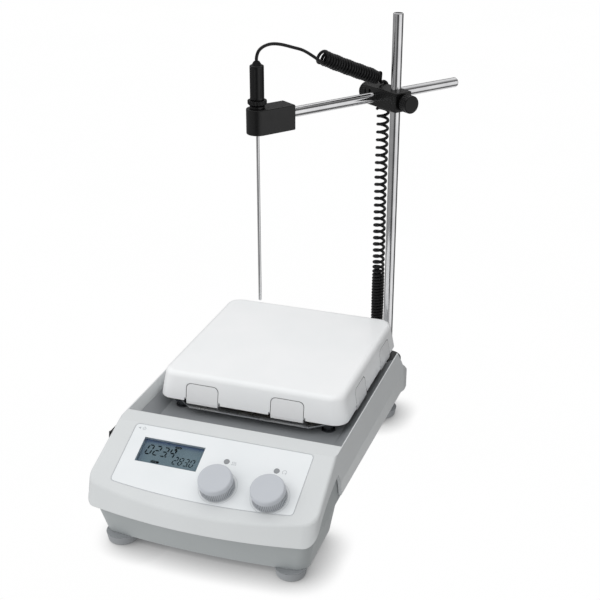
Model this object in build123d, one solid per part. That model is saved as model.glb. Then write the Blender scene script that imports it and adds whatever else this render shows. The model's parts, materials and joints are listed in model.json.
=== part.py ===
"""Square hotplate magnetic stirrer with a support rod, clamp, arm and temperature probe.

Lengths are millimetres. Each part is drawn with z = 0 on the bench and the plate's centre
on the z axis, then lowered so that the centre of the plate's top face is the origin.
x points right, y points to the rear and z points up.
"""

import os
from math import cos, radians, sin, tan

from build123d import *

os.makedirs("parts", exist_ok=True)

# Whole body
HALF_WIDTH = 107.5
FRONT_CORNER_Y = -223
FRONT_BOW = 12
REAR_Y = 125
REAR_HALF_WIDTH = 100
TAPER_START_Y = 72
WALL = 3.5
SIDE_LEAN = 0.1
FRONT_LEAN = 0.3

# Control head
CREST_Y = -136
CREST_Z = 91.3
PANEL_TILT = 24.3
PANEL_TOP_Y = -155.7
PANEL_TOP_Z = 90.7
PANEL_THICK = 3.2
HEAD_BASE_Z = 42
HEAD_EDGE_R = 3

# Flanks, well and rear shelf
FLANK_BASE_Z = 46
FLANK_REAR_Z = 39.5
CREASE_Z = 62
FLANK_UNDERCUT = 2
SLOPE_START_Y = 57
SHELF_Y = 114
SHELF_Z = 44
SHELF_REAR_Z = 41
REAR_LOW_Z = 22
WELL_HALF_WIDTH = 99.5
WELL_LIP_HALF_WIDTH = 103.6
WELL_FLOOR_Z = 70
WELL_REAR_Y = 80
FLOOR_THICK = 3
DRIVE_HOLE_R = 57
DECK_THICK = 2
DISH_SLOPE_WIDTH = 12.4
DISH_SLOPE_HEIGHT = 9
DISH_REAR_Y = 63

# Lower casting
CAST_WALL = 3
FLOOR_Z = 8
ARCH_Z = 40
ARCH_FLOOR = 3
CAST_HALF_WIDTH = 103.4
CAST_REAR_Y = 118
CAST_RIM_Z = 66

# Feet and the M4 screws that hold feet, housing and posts
FOOT_R = 14.5
FOOT_H = 8
FOOT_SPOTS = [(-80.7, -205), (80.7, -205), (-82, 90), (82, 90)]
SCREW_R = 2
SCREW_LENGTH = 12
SCREW_HEAD_R = 4
SCREW_HEAD_H = 2.6
HOUSING_SPOTS = [(-80, -146), (80, -146), (-62, 74), (62, 74)]
HOUSING_SEAT_Z = 34

# Hot plate
PLATE_TOP = 112
PLATE_HALF_TOP = 90
PLATE_HALF_BASE = 94
PLATE_BASE_Z = 85
PLATE_THICK = 9
PLATE_EDGE_R = 5.5
PLATE_CORNER_R = 14
CLIP_WIDTH = 32
CLIP_TOP_Z = 102.5
CLIP_THICK = 0.9
CLIP_GAP = 0.6
NOTCH_WIDTH = 1.8
NOTCH_HEIGHT = 2.8
CLIP_SPOTS = [-48, 37.5]
SHIELD_Z = 79.5
SHIELD_THICK = 1.2
SHIELD_HALF_WIDTH = 88
SHIELD_FRONT_Y = -97
POST_SPOTS = [(-74, -80), (74, -80), (-70, 56), (70, 56)]
POST_R = 4.5
HEATER_R = 55
HEATER_TUBE_R = 3.5

# Stirring drive
SHAFT_R = 4
RUNNING_GAP = 0.04
MOTOR_R = 26
MOTOR_BASE_Z = 45
MOTOR_TOP_Z = 64
BEARING_R = 8
BEARING_H = 5
BRACKET_R = 56
BRACKET_LEG_R = 50
CARRIER_R = 42
CARRIER_Z = 69.5
CARRIER_H = 9
MAGNET_R = 8
MAGNET_H = 6
MAGNET_CIRCLE_R = 30

# Front panel, in the panel's own plane: x right, s down the slope
OVERLAY_HALF_WIDTH = 85.3
OVERLAY_DEPTH = 63.2
OVERLAY_BOW = 5.5
OVERLAY_THICK = 0.4
LCD_X = -42
LCD_S = 26
LCD_WIDTH = 59
LCD_HEIGHT = 26
KNOB_S = 50
KNOB_XS = {"temperature": 12.5, "speed": 60.4}
KNOB_R = 15.6
KNOB_H = 13.5
KNOB_LIFT = 1.1
KNOB_RIBS = 56
RIB_DEPTH = 0.9
RIB_GAP = 0.85
KNOB_SHAFT_R = 3
DOT_S = 23
DOT_XS = [11.2, 57.8]
DOT_R = 2.7
BOARD_DEPTH = 10.4
BOARD_THICK = 1.6
BOARD_POSTS = [(-81, 8), (81, 8), (-81, 55), (81, 55)]

# Power rocker in the left wall of the head
ROCKER_Y = -162
ROCKER_Z = 79.2
ROCKER_HALF_LENGTH = 5
ROCKER_HALF_HEIGHT = 3.4
ROCKER_TILT = 9
ROCKER_PIVOT = 3

# Rear sockets
SOCKET_Z = 24.5
INLET_X = -54
SERIAL_X = -2
SENSOR_X = 44

# Support rod, clamp, arm and probe
ROD_R = 5
ROD_X = 80
ROD_Y = 108
ROD_TOP_Z = 424
SOCKET_TOP_Z = 49
SOCKET_R = 9
ROD_BOTTOM_Z = 26
COLLAR_R = 15
COLLAR_H = 11
ARM_ANGLE = 54
ARM_Z = 340
ARM_OFFSET = 20
ARM_REAR = 96
ARM_FRONT = -128
BLOCK_RIGHT = 12
BLOCK_LEFT = 35
BLOCK_HALF_DEPTH = 10
BLOCK_HALF_HEIGHT = 9.6
BORE_GAP = 0.05
THUMB_R = 8.75
THUMB_H = 10
HOLDER_NEAR = -112
PROBE_T = -148
HOLDER_R = 10.5
HOLDER_BASE_Z = 326
HOLDER_TOP_Z = 350
STEM_R = 1.5
STEM_TIP_Z = 156
NECK_R = 5
NUT_R = 9
HANDLE_R = 6.6
HANDLE_BASE_Z = 358
HANDLE_TOP_Z = 389.8
HANDLE_END_Z = 393.5

# Coiled cable
CABLE_R = 1.5
UPPER_COIL_R = 7.6
HANG_COIL_R = 6.6
HANG_X = 64.5
HANG_Y = 120
HANG_TOP_Z = 329.5
HANG_BOTTOM_Z = 74


def save(shape, name):
    """Lower a finished part into the shared frame and write it."""
    export_step(Pos(0, 0, -PLATE_TOP) * shape, f"parts/{name}.step")


def solids(shapes):
    """Several separate solids kept apart in one part."""
    return Compound(children=list(shapes))


def cylinder(radius, low, high, x=0, y=0):
    """Upright cylinder between two heights."""
    return Pos(x, y, (low + high) / 2) * Cylinder(radius, high - low)


def box(x0, x1, y0, y1, z0, z1):
    """Box between two corners."""
    centre = Pos((x0 + x1) / 2, (y0 + y1) / 2, (z0 + z1) / 2)
    return centre * Box(x1 - x0, y1 - y0, z1 - z0)


def side_prism(points, half_width=120):
    """Side outline, as (y, z) points, pulled out to both sides."""
    face = make_face(Plane.YZ * Polyline(*points, close=True))
    return extrude(face, half_width, both=True)


def along_y(radius, y0, y1, x, z):
    """Cylinder lying along y."""
    return Pos(x, (y0 + y1) / 2, z) * Rot(90, 0, 0) * Cylinder(radius, y1 - y0)


def panel_height(y):
    """Height of the sloping panel above the bench."""
    return PANEL_TOP_Z + (y - PANEL_TOP_Y) * tan(radians(PANEL_TILT))


def on_panel(x=0, s=0, depth=0):
    """Place on the panel: local z leaves the panel, depth sinks below its surface."""
    plane = Plane(
        origin=(0, PANEL_TOP_Y, PANEL_TOP_Z),
        x_dir=(1, 0, 0),
        z_dir=(0, -sin(radians(PANEL_TILT)), cos(radians(PANEL_TILT))),
    )
    return Location(plane) * Pos(x, -s, -depth)


def panel_pin(radius, x, s, top, bottom):
    """Cylinder square to the panel, from one depth down to another."""
    return on_panel(x, s, (top + bottom) / 2) * Cylinder(radius, bottom - top)


def panel_box(x, s, width, height, top, bottom):
    """Box square to the panel, from one depth down to another."""
    return on_panel(x, s, (top + bottom) / 2) * Box(width, height, bottom - top)


def body_plan(inset=0, height=HEAD_BASE_Z):
    """Plan of the body at one height: front bowed, sides straight, rear corners drawn in."""
    lean = SIDE_LEAN * max(0, height - CREASE_Z)
    x = HALF_WIDTH - inset - lean
    rear_x = REAR_HALF_WIDTH - inset - lean
    front = FRONT_CORNER_Y + inset + FRONT_LEAN * max(0, height - HEAD_BASE_Z)
    rear = REAR_Y - inset
    outline = [
        ThreePointArc((-x, front), (0, front - FRONT_BOW), (x, front)),
        Polyline((x, front), (x, TAPER_START_Y), (rear_x, rear)),
        Line((rear_x, rear), (-rear_x, rear)),
        Polyline((-rear_x, rear), (-x, TAPER_START_Y), (-x, front)),
    ]
    face = make_face(outline)
    front_corners = face.vertices().sort_by(Axis.Y)[:2]
    face = fillet(front_corners, 14 - min(inset, 4))
    rear_corners = face.vertices().sort_by(Axis.Y)[-2:]
    return fillet(rear_corners, 20 - min(inset, 8))


def body_form(inset, low):
    """Body drawn up from a height: upright, then front leaning back, then sides leaning in."""
    form = extrude(Pos(0, 0, low) * body_plan(inset), HEAD_BASE_Z - low)
    for start, end in ((HEAD_BASE_Z, CREASE_Z), (CREASE_Z, 110)):
        ends = [Pos(0, 0, z) * body_plan(inset, z) for z in (start, end)]
        form += loft(ends, ruled=True)
    return form


def head_and_flank_face():
    """Side view of the upper housing, from the head's lower edge to the rear shelf."""
    head_edge = Spline((-224, 42), (-211, 50.5), (-202.5, 58), (-187, 65), (-169, 70), (-152.5, 73))
    rest = Polyline(
        (-152.5, 73),
        (-148, 63),
        (-143.5, FLANK_BASE_Z),
        (70, FLANK_REAR_Z),
        (91, 32),
        (REAR_Y + 3, REAR_LOW_Z - 1),
        (REAR_Y + 3, SHELF_REAR_Z - 0.8),
        (SHELF_Y, SHELF_Z),
        (80, 66),
        (72, WELL_FLOOR_Z + 1),
        (SLOPE_START_Y, 91),
        (CREST_Y, CREST_Z),
        (PANEL_TOP_Y + 1.3, CREST_Z),
        (-250, panel_height(-250)),
        (-250, HEAD_BASE_Z),
        (-224, HEAD_BASE_Z),
    )
    return make_face(Plane.YZ * Curve(children=[head_edge, rest]))


def on_slope(edge):
    """Whether an edge borders the sloping panel at the front or at a side."""
    spots = [edge @ t for t in (0, 0.5, 1)]
    level = all(abs(spot.Z - panel_height(spot.Y)) < 0.05 for spot in spots)
    return level and spots[1].Y < PANEL_TOP_Y - 5


def housing_outer():
    """Outer form of the upper housing before it is hollowed."""
    form = extrude(head_and_flank_face(), 120, both=True) & body_form(0, 15)
    form = fillet([e for e in form.edges() if on_slope(e)], HEAD_EDGE_R)
    for side in (-1, 1):
        under = make_face(
            Plane.XZ
            * Polyline(
                (side * HALF_WIDTH, CREASE_Z),
                (side * (HALF_WIDTH + 9), CREASE_Z),
                (side * (HALF_WIDTH + 9), 30),
                (side * (HALF_WIDTH - FLANK_UNDERCUT), 30),
                close=True,
            )
        )
        form -= Pos(0, -153, 0) * extrude(under, 300, dir=(0, 1, 0))
    return form


def housing_hollow():
    """Space inside the upper housing, open at the bottom."""
    drop = PANEL_THICK / cos(radians(PANEL_TILT))
    outline = [
        (-250, 15),
        (-250, panel_height(-250) - drop),
        (PANEL_TOP_Y, PANEL_TOP_Z - drop),
        (CREST_Y - WALL, CREST_Z - WALL),
        (CREST_Y - WALL, WELL_FLOOR_Z - FLOOR_THICK),
        (68, WELL_FLOOR_Z - FLOOR_THICK),
        (79, 61.5),
        (SHELF_Y - 1, SHELF_Z - 4.5),
        (130, SHELF_REAR_Z - 4.5),
        (130, 15),
    ]
    return side_prism(outline) & body_form(WALL, 12)


def front_prism(points, y0, y1):
    """Front outline, as (x, z) points mirrored to both sides, pulled out along y."""
    both = points + [(-x, z) for x, z in reversed(points)]
    face = make_face(Plane.XZ * Polyline(*both, close=True))
    return Pos(0, y0, 0) * extrude(face, y1 - y0, dir=(0, 1, 0))


def well_cut():
    """Recess between head, flanks and rear slope, its side walls opening at the top."""
    points = [
        (WELL_HALF_WIDTH, WELL_FLOOR_Z),
        (WELL_HALF_WIDTH, WELL_FLOOR_Z + 10),
        (WELL_LIP_HALF_WIDTH, CREST_Z),
        (WELL_LIP_HALF_WIDTH, 120),
    ]
    return front_prism(points, CREST_Y, WELL_REAR_Y)


def overlay_face(grow=0):
    """Outline of the panel overlay, bowed along its lower edge."""
    x = OVERLAY_HALF_WIDTH + grow
    low = -OVERLAY_DEPTH - grow
    outline = [
        Line((-x, low), (-x, grow)),
        Line((-x, grow), (x, grow)),
        Line((x, grow), (x, low)),
        ThreePointArc((x, low), (0, low - OVERLAY_BOW), (-x, low)),
    ]
    face = make_face(outline)
    return fillet(face.vertices(), 4 + grow)


def panel_openings(radius_extra=0):
    """Holes through the panel for the display, lamps and knob shafts."""
    cuts = [panel_box(LCD_X, LCD_S, LCD_WIDTH, LCD_HEIGHT, -5, 6)]
    cuts += [panel_pin(DOT_R + radius_extra, x, DOT_S, -5, 6) for x in DOT_XS]
    cuts += [panel_pin(4 + radius_extra, x, KNOB_S, -5, 6) for x in KNOB_XS.values()]
    return cuts


def upper_housing():
    """Painted upper housing: control head, flanks and rear shelf in one thin shell."""
    shell = housing_outer() - housing_hollow() - well_cut()
    shell -= on_panel(depth=OVERLAY_THICK) * extrude(overlay_face(0.15), 5)
    for cut in panel_openings(0.1):
        shell -= cut
    shell -= rocker_place() * Box(13.8, 8.8, 24)
    shell -= box(INLET_X - 30, SENSOR_X + 13, CAST_REAR_Y + 1, 130, 10, SOCKET_Z + 13.3)
    shell -= cylinder(DRIVE_HOLE_R, 60, 75)
    shell -= box(-14, 14, 0, HEATER_R + 7, 60, 75)
    for x, y in POST_SPOTS:
        shell -= cylinder(SCREW_R, 60, 75, x, y)
    for x, s in BOARD_POSTS:
        shell += panel_pin(3.5, x, s, PANEL_THICK - 0.5, BOARD_DEPTH)
        shell -= panel_pin(1.5, x, s, PANEL_THICK + 1, BOARD_DEPTH + 1)
    ceiling = housing_outer()
    for x, y in HOUSING_SPOTS:
        boss = cylinder(5.2, HOUSING_SEAT_Z + 4.2, CREST_Z, x, y) & ceiling
        shell += boss
        shell -= cylinder(SCREW_R, HOUSING_SEAT_Z, HOUSING_SEAT_Z + SCREW_LENGTH + 1, x, y)
    seat_z = SOCKET_TOP_Z - 2
    shell -= cylinder(COLLAR_R + 1.5, seat_z, 100, ROD_X, ROD_Y)
    shell += cylinder(COLLAR_R + 1.5, seat_z - 5.5, seat_z, ROD_X, ROD_Y)
    return shell - cylinder(SOCKET_R + 0.2, 30, 60, ROD_X, ROD_Y)


def dish_form(lift):
    """Space above the dish's surface: sloping sides and front, open to the rear."""
    x = WELL_HALF_WIDTH - 0.2
    front = CREST_Y + 0.15
    low = WELL_FLOOR_Z + lift
    lip = low + DISH_SLOPE_HEIGHT
    across = [(x - DISH_SLOPE_WIDTH, low), (x, lip), (x, lip + 20)]
    along = [
        (front + DISH_SLOPE_WIDTH, low),
        (front, lip),
        (front, lip + 20),
        (DISH_REAR_Y, lip + 20),
        (DISH_REAR_Y, low),
    ]
    return front_prism(across, -140, 90) & side_prism(along)


def deck_plate():
    """Dark dished plate that lines the well under the hot plate."""
    top = WELL_FLOOR_Z + DISH_SLOPE_HEIGHT + DECK_THICK
    plate = dish_form(0) - dish_form(DECK_THICK)
    plate &= box(-120, 120, -140, 90, WELL_FLOOR_Z - 1, top)
    plate -= cylinder(CARRIER_R + 4, 60, 80)
    plate -= box(-14, 14, CARRIER_R + 8, CARRIER_R + 18, 60, 80)
    for x, y in POST_SPOTS:
        plate -= cylinder(SCREW_R + 0.2, 60, 80, x, y)
    return plate


def block(low, high, bottom, top, radius):
    """Casting block drawn in towards its foot: (half width, front y, bow, rear y) at both ends."""
    faces = []
    for (half, front, bow, rear), z in ((low, bottom), (high, top)):
        outline = [
            ThreePointArc((-half, front), (0, front - bow), (half, front)),
            Polyline((half, front), (half, rear), (-half, rear), (-half, front)),
        ]
        face = make_face(outline)
        faces.append(Pos(0, 0, z) * fillet(face.vertices(), radius))
    return loft(faces)


def casting_blocks(inset=0):
    """The two blocks of the casting that stand on the feet, at the front and at the rear."""
    front = block(
        (96.5 - inset, -209.5 + inset, 6, -135 - inset),
        (CAST_HALF_WIDTH - inset, -218.2 + inset, FRONT_BOW, -134 - inset),
        FLOOR_Z + inset,
        HEAD_BASE_Z + 4,
        12 - inset,
    )
    rear = block(
        (91.5 - inset, 61 + inset, 0.01, CAST_REAR_Y - 5 - inset),
        (95 - inset, 54 + inset, 0.01, CAST_REAR_Y - inset),
        FLOOR_Z + inset,
        ARCH_Z + 5,
        10 - inset,
    )
    return front, rear


def casting_band(inset, low, top_extra=0):
    """Upper band of the casting, behind the head's side edge and inside the flanks."""
    outline = [
        (-224, 48),
        (-203, 64),
        (-187, 71),
        (-169, 77),
        (-152, 80),
        (-141, CAST_RIM_Z),
        (58, CAST_RIM_Z),
        (66, 44),
        (CAST_REAR_Y - inset, 44),
    ]
    raised = [(y, z + top_extra) for y, z in outline]
    ends = [(CAST_REAR_Y - inset, low), (-250, low), (-250, 48 + top_extra)]
    return side_prism(raised + ends) & body_form(HALF_WIDTH - CAST_HALF_WIDTH + inset, 20)


def base_casting():
    """Lower casting: carries the feet, drive, boards and rear sockets."""
    front, rear = casting_blocks()
    front_in, rear_in = casting_blocks(CAST_WALL)
    form = front + rear + casting_band(0, ARCH_Z)
    form -= casting_band(CAST_WALL, ARCH_Z + ARCH_FLOOR, 20)
    form -= front_in
    form -= rear_in
    for x, y in FOOT_SPOTS:
        form += cylinder(6, FLOOR_Z, FLOOR_Z + 12, x, y)
        form -= cylinder(SCREW_R, FLOOR_Z - 1, FLOOR_Z + 9, x, y)
    for x, y in HOUSING_SPOTS:
        form += cylinder(6.5, FLOOR_Z + 1, HOUSING_SEAT_Z + 4, x, y)
        form -= cylinder(SCREW_HEAD_R + 0.5, 0, HOUSING_SEAT_Z, x, y)
        form -= cylinder(SCREW_R, 0, HOUSING_SEAT_Z + 5, x, y)
    for angle in (90, 210, 330):
        x = BRACKET_LEG_R * cos(radians(angle))
        y = BRACKET_LEG_R * sin(radians(angle))
        form += cylinder(5, ARCH_Z + 1, MOTOR_TOP_Z, x, y)
        form -= cylinder(1.5, MOTOR_TOP_Z - 8, MOTOR_TOP_Z + 1, x, y)
    for x, y in power_board_posts():
        form += cylinder(3.5, ARCH_Z + 1, 50, x, y)
        form -= cylinder(1.5, ARCH_Z + 3, 51, x, y)
    form += cylinder(SOCKET_R + 3, FLOOR_Z + 1, 41, ROD_X, ROD_Y)
    form -= side_prism([(89, 41), (112, 38.5), (130, 36), (130, 60), (89, 60)])
    form -= rocker_place() * Box(17, 12, 60)
    form -= cylinder(SOCKET_R, ROD_BOTTOM_Z - 4, 60, ROD_X, ROD_Y)
    for row in (-95, 25):
        for i in range(8):
            form -= box(-52 + 15 * i, -48 + 15 * i, row, row + 18, 30, 50)
    form -= box(INLET_X - 23.2, INLET_X + 23.2, 97, 130, SOCKET_Z - 11.2, SOCKET_Z + 11.2)
    form -= box(SERIAL_X - 9.5, SERIAL_X + 9.5, 100, 130, SOCKET_Z - 5, SOCKET_Z + 5)
    form -= along_y(7.1, 100, 130, SENSOR_X, SOCKET_Z)
    return form


def power_board_posts():
    """Where the power board is screwed down."""
    return [(x, y) for x in (-94, -62) for y in (-100, 30)]


def foot(x, y):
    """Rubber foot with a recess for its screw."""
    body = Pos(x, y, FOOT_H / 2) * Cone(FOOT_R - 1.5, FOOT_R, FOOT_H)
    body = fillet(body.edges().sort_by(Axis.Z)[:1], 1.2)
    body -= cylinder(SCREW_HEAD_R + 1, -1, 4, x, y)
    return body - cylinder(SCREW_R, 0, 20, x, y)


def case_screw(x, y, seat_z):
    """Pan-head M4 screw driven upward, its head under the given seat."""
    head = cylinder(SCREW_HEAD_R, seat_z - SCREW_HEAD_H, seat_z, x, y)
    head = fillet(head.edges().sort_by(Axis.Z)[:1], 1)
    drive = cylinder(1.6, seat_z - SCREW_HEAD_H - 1, seat_z - 1.2, x, y)
    return head - drive + cylinder(SCREW_R, seat_z, seat_z + SCREW_LENGTH, x, y)


def case_screws():
    """All the M4 screws: feet, housing and plate posts."""
    made = [case_screw(x, y, 4) for x, y in FOOT_SPOTS]
    made += [case_screw(x, y, HOUSING_SEAT_Z) for x, y in HOUSING_SPOTS]
    made += [case_screw(x, y, WELL_FLOOR_Z - FLOOR_THICK) for x, y in POST_SPOTS]
    return solids(made)


def plate_form(shrink=0):
    """Flared square form of the hot plate, optionally drawn in all round."""
    height = PLATE_TOP - PLATE_BASE_Z
    lean = (PLATE_HALF_BASE - PLATE_HALF_TOP) / height
    faces = []
    for z in (PLATE_BASE_Z, PLATE_TOP):
        half = PLATE_HALF_BASE - lean * (z - PLATE_BASE_Z) - shrink
        face = RectangleRounded(2 * half, 2 * half, PLATE_CORNER_R - shrink)
        faces.append(Pos(0, 0, z) * face)
    form = loft(faces)
    return fillet(form.faces().sort_by(Axis.Z)[-1].edges(), PLATE_EDGE_R - shrink)


def clip_outline(grow, low):
    """Front view of one clip flap, centred on x = 0, with wide round shoulders."""
    half = CLIP_WIDTH / 2 + grow
    top = CLIP_TOP_Z + grow
    face = make_face(
        Polyline((-half, low), (-half, top), (half, top), (half, low), close=True)
    )
    return fillet(face.vertices().sort_by(Axis.Y)[-2:], 5)


def clip_spots():
    """Turn and sideways offset of every clip: two on each side of the plate."""
    spots = [(turn, spot) for turn in (0, 180) for spot in CLIP_SPOTS]
    return spots + [(turn, -spot) for turn in (90, 270) for spot in CLIP_SPOTS]


def clip_column(grow, low):
    """Upright prism through the front skirt with the clip's outline."""
    face = Plane.XZ.offset(80) * clip_outline(grow, low)
    return extrude(face, 20, dir=(0, -1, 0))


def plate_clips():
    """White spring clips that hook the skirt to the tray below."""
    shell = plate_form() - plate_form(CLIP_THICK)
    foot_y = -PLATE_HALF_BASE
    flap = clip_column(0, PLATE_BASE_Z - 0.1) & shell
    half = CLIP_WIDTH / 2
    flap += box(-half, half, foot_y, foot_y + CLIP_THICK, 82.4, PLATE_BASE_Z + 0.05)
    flap += box(-half, half, foot_y, -85, 82.4, 82.4 + CLIP_THICK)
    tray_z = SHIELD_Z + SHIELD_THICK + 0.05
    flap += box(-half, half, -86, -86 + CLIP_THICK, tray_z, 82.4 + CLIP_THICK)
    flap += box(-half, half, -86, -77, tray_z, tray_z + CLIP_THICK)
    return solids([Rot(0, 0, turn) * Pos(spot, 0, 0) * flap for turn, spot in clip_spots()])


def hot_plate():
    """Enamelled plate with a flared skirt, clip recesses and a hollow underside."""
    form = plate_form()
    pocket = Pos(0, 0, PLATE_BASE_Z - 1) * RectangleRounded(172, 172, 9)
    form -= extrude(pocket, PLATE_TOP - PLATE_THICK - PLATE_BASE_Z + 1)
    recess = clip_column(CLIP_GAP, PLATE_BASE_Z - 1) - plate_form(CLIP_THICK + 0.3)
    edge = CLIP_WIDTH / 2 + CLIP_GAP
    for x in (-edge - NOTCH_WIDTH, edge):
        notch = box(x, x + NOTCH_WIDTH, -96, -86, PLATE_BASE_Z - 1, PLATE_BASE_Z + NOTCH_HEIGHT)
        recess += notch - plate_form(3)
    for turn, spot in clip_spots():
        form -= Rot(0, 0, turn) * Pos(spot, 0, 0) * recess
    form += cylinder(6, PLATE_TOP - PLATE_THICK - 3, PLATE_TOP - PLATE_THICK, 14, 18)
    form -= cylinder(2, PLATE_TOP - PLATE_THICK - 4, PLATE_TOP - 5, 14, 18)
    return form


def heater_element():
    """Open ring of sheathed heating tube with two legs down to its terminals."""
    z = PLATE_TOP - PLATE_THICK - HEATER_TUBE_R - 0.1
    start = 97
    ring_path = CenterArc((0, 0, z), HEATER_R, start, 346)
    ends = [ring_path @ 0, ring_path @ 1]
    section = Plane(origin=ends[0], z_dir=ring_path % 0) * Circle(HEATER_TUBE_R)
    ring = sweep(section, ring_path)
    for end in ends:
        ring += Pos(end.X, end.Y, end.Z) * Sphere(HEATER_TUBE_R)
        ring += cylinder(HEATER_TUBE_R, 74, z, end.X, end.Y)
    return ring


def tray_outline(half_x, front, rear, cut):
    """Plan of the tray: a rectangle with its front corners cut off."""
    points = [
        (-half_x, rear),
        (-half_x, front + cut * 0.8),
        (-half_x + cut, front),
        (half_x - cut, front),
        (half_x, front + cut * 0.8),
        (half_x, rear),
    ]
    return make_face(Polyline(*points, close=True))


def heater_holes():
    """Passages for the posts, heater legs and sensor through tray and blanket."""
    cuts = [cylinder(POST_R + 0.6, 70, 102, x, y) for x, y in POST_SPOTS]
    cuts.append(box(-12, 12, HEATER_R - 6, HEATER_R + 6, 70, 102))
    cuts.append(cylinder(2.6, 85, 102, 14, 18))
    return cuts


def heat_shield():
    """Bright sheet tray under the plate, its front edge just proud of the skirt."""
    face = tray_outline(SHIELD_HALF_WIDTH, SHIELD_FRONT_Y, 88, 28)
    sheet = extrude(Pos(0, 0, SHIELD_Z) * face, SHIELD_THICK)
    for cut in heater_holes():
        sheet -= cut
    return sheet


def insulation_pad():
    """Ceramic-fibre blanket between the heating ring and the tray."""
    pad = extrude(Pos(0, 0, 86) * RectangleRounded(166, 166, 8), 9)
    for cut in heater_holes():
        pad -= cut
    return pad


def plate_post(x, y):
    """Turned post with a flange that carries the tray and a plain top under the plate."""
    post = cylinder(POST_R, WELL_FLOOR_Z + DECK_THICK, PLATE_TOP - PLATE_THICK, x, y)
    post += cylinder(7.5, SHIELD_Z - 1.4, SHIELD_Z, x, y)
    post += cylinder(6.5, WELL_FLOOR_Z + DECK_THICK, WELL_FLOOR_Z + DECK_THICK + 1.2, x, y)
    return post - cylinder(SCREW_R, 60, WELL_FLOOR_Z + SCREW_LENGTH + 1, x, y)


def plate_sensor():
    """Temperature sensor plugged into the plate's underside, its lead end in the blanket."""
    top = PLATE_TOP - 5.2
    return cylinder(1.95, 96, top, 14, 18) + cylinder(1.2, 87, 96, 14, 18)


def motor_housing():
    """Motor can with a seat for a bearing at each end."""
    can = cylinder(MOTOR_R, MOTOR_BASE_Z, MOTOR_TOP_Z)
    can -= cylinder(MOTOR_R - 2, MOTOR_BASE_Z + 2, MOTOR_TOP_Z - 2)
    can += cylinder(BEARING_R + 2, MOTOR_TOP_Z - BEARING_H, MOTOR_TOP_Z)
    can += cylinder(BEARING_R + 2, MOTOR_BASE_Z, MOTOR_BASE_Z + BEARING_H + 1)
    can -= cylinder(BEARING_R, MOTOR_TOP_Z - BEARING_H, MOTOR_TOP_Z + 1)
    return can - cylinder(BEARING_R, MOTOR_BASE_Z + 1, MOTOR_BASE_Z + BEARING_H + 1)


def bearing(low):
    """Ball bearing drawn as a plain ring with shield grooves."""
    ring = cylinder(BEARING_R, low, low + BEARING_H)
    for z in (low, low + BEARING_H):
        ring -= cylinder(7.2, z - 0.4, z + 0.4) - cylinder(5, z - 0.4, z + 0.4)
    return ring - cylinder(SHAFT_R + RUNNING_GAP, low - 1, low + BEARING_H + 1)


def motor_stator():
    """Wound ring of nine teeth inside the can."""
    ring = cylinder(MOTOR_R - 2, 51, 58) - cylinder(15, 50, 59)
    for i in range(9):
        slot = Pos(19, 0, 54.5) * Box(4.5, 3.2, 9)
        mouth = Pos(16, 0, 54.5) * Box(4, 1.2, 9)
        ring -= Rot(0, 0, 40 * i) * (slot + mouth)
    return ring


def motor_bracket():
    """Sheet bracket that hangs the motor on three cast columns."""
    plate = cylinder(34, MOTOR_TOP_Z, MOTOR_TOP_Z + 2)
    for angle in (90, 210, 330):
        arm = Pos(BRACKET_R / 2, 0, MOTOR_TOP_Z + 1) * Box(BRACKET_R, 14, 2)
        arm = fillet(arm.edges().filter_by(Axis.Z).sort_by(Axis.X)[-2:], 6)
        plate += Rot(0, 0, angle) * arm
        plate -= Rot(0, 0, angle) * cylinder(1.6, 60, 70, BRACKET_LEG_R)
    return plate - cylinder(SHAFT_R + 2, 60, 70)


def motor_shaft():
    """Shaft with the rotor core on it."""
    return cylinder(SHAFT_R, MOTOR_BASE_Z + 1.2, CARRIER_Z + 6) + cylinder(14.4, 52, 57.5)


def magnet_carrier():
    """Round carrier on the shaft, pocketed for the drive magnets."""
    disc = cylinder(CARRIER_R, CARRIER_Z, CARRIER_Z + CARRIER_H)
    disc = chamfer(disc.edges().group_by(Axis.Z)[-1], 1)
    disc += cylinder(9, MOTOR_TOP_Z + 2.6, CARRIER_Z)
    disc -= cylinder(SHAFT_R, 60, CARRIER_Z + 6)
    for i in range(4):
        pocket = cylinder(MAGNET_R, CARRIER_Z + CARRIER_H - MAGNET_H, 90, MAGNET_CIRCLE_R)
        disc -= Rot(0, 0, 45 + 90 * i) * pocket
    return disc


def drive_magnets():
    """Four round magnets in the carrier."""
    top = CARRIER_Z + CARRIER_H
    magnet = cylinder(MAGNET_R, top - MAGNET_H, top, MAGNET_CIRCLE_R)
    return solids([Rot(0, 0, 45 + 90 * i) * magnet for i in range(4)])


def panel_overlay():
    """Printed overlay in its recess, cut out for the display, lamps and shafts."""
    sheet = on_panel(depth=OVERLAY_THICK) * extrude(overlay_face(), OVERLAY_THICK)
    for cut in panel_openings():
        sheet -= cut
    return sheet


def lcd_window():
    """Clear window that fills the display opening."""
    return panel_box(LCD_X, LCD_S, LCD_WIDTH - 0.3, LCD_HEIGHT - 0.3, 0.5, 2.3)


def lcd_module():
    """Display glass in its tray, behind the window."""
    glass = panel_box(LCD_X, LCD_S, 62, 30, 4, 6)
    tray = panel_box(LCD_X, LCD_S, 66, 34, 6, BOARD_DEPTH)
    return glass + tray


def control_board():
    """Board under the panel, carrying display, lamps and encoders."""
    board = panel_box(0, 31, 172, 56, BOARD_DEPTH, BOARD_DEPTH + BOARD_THICK)
    for x, s in BOARD_POSTS:
        board -= panel_pin(1.6, x, s, 5, 20)
    for x in KNOB_XS.values():
        board -= panel_pin(2.2, x, KNOB_S, 5, 20)
    return board


def indicator_lenses():
    """Two round lamp lenses, flush with the overlay."""
    return solids([panel_pin(DOT_R - 0.1, x, DOT_S, -0.1, BOARD_DEPTH) for x in DOT_XS])


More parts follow.
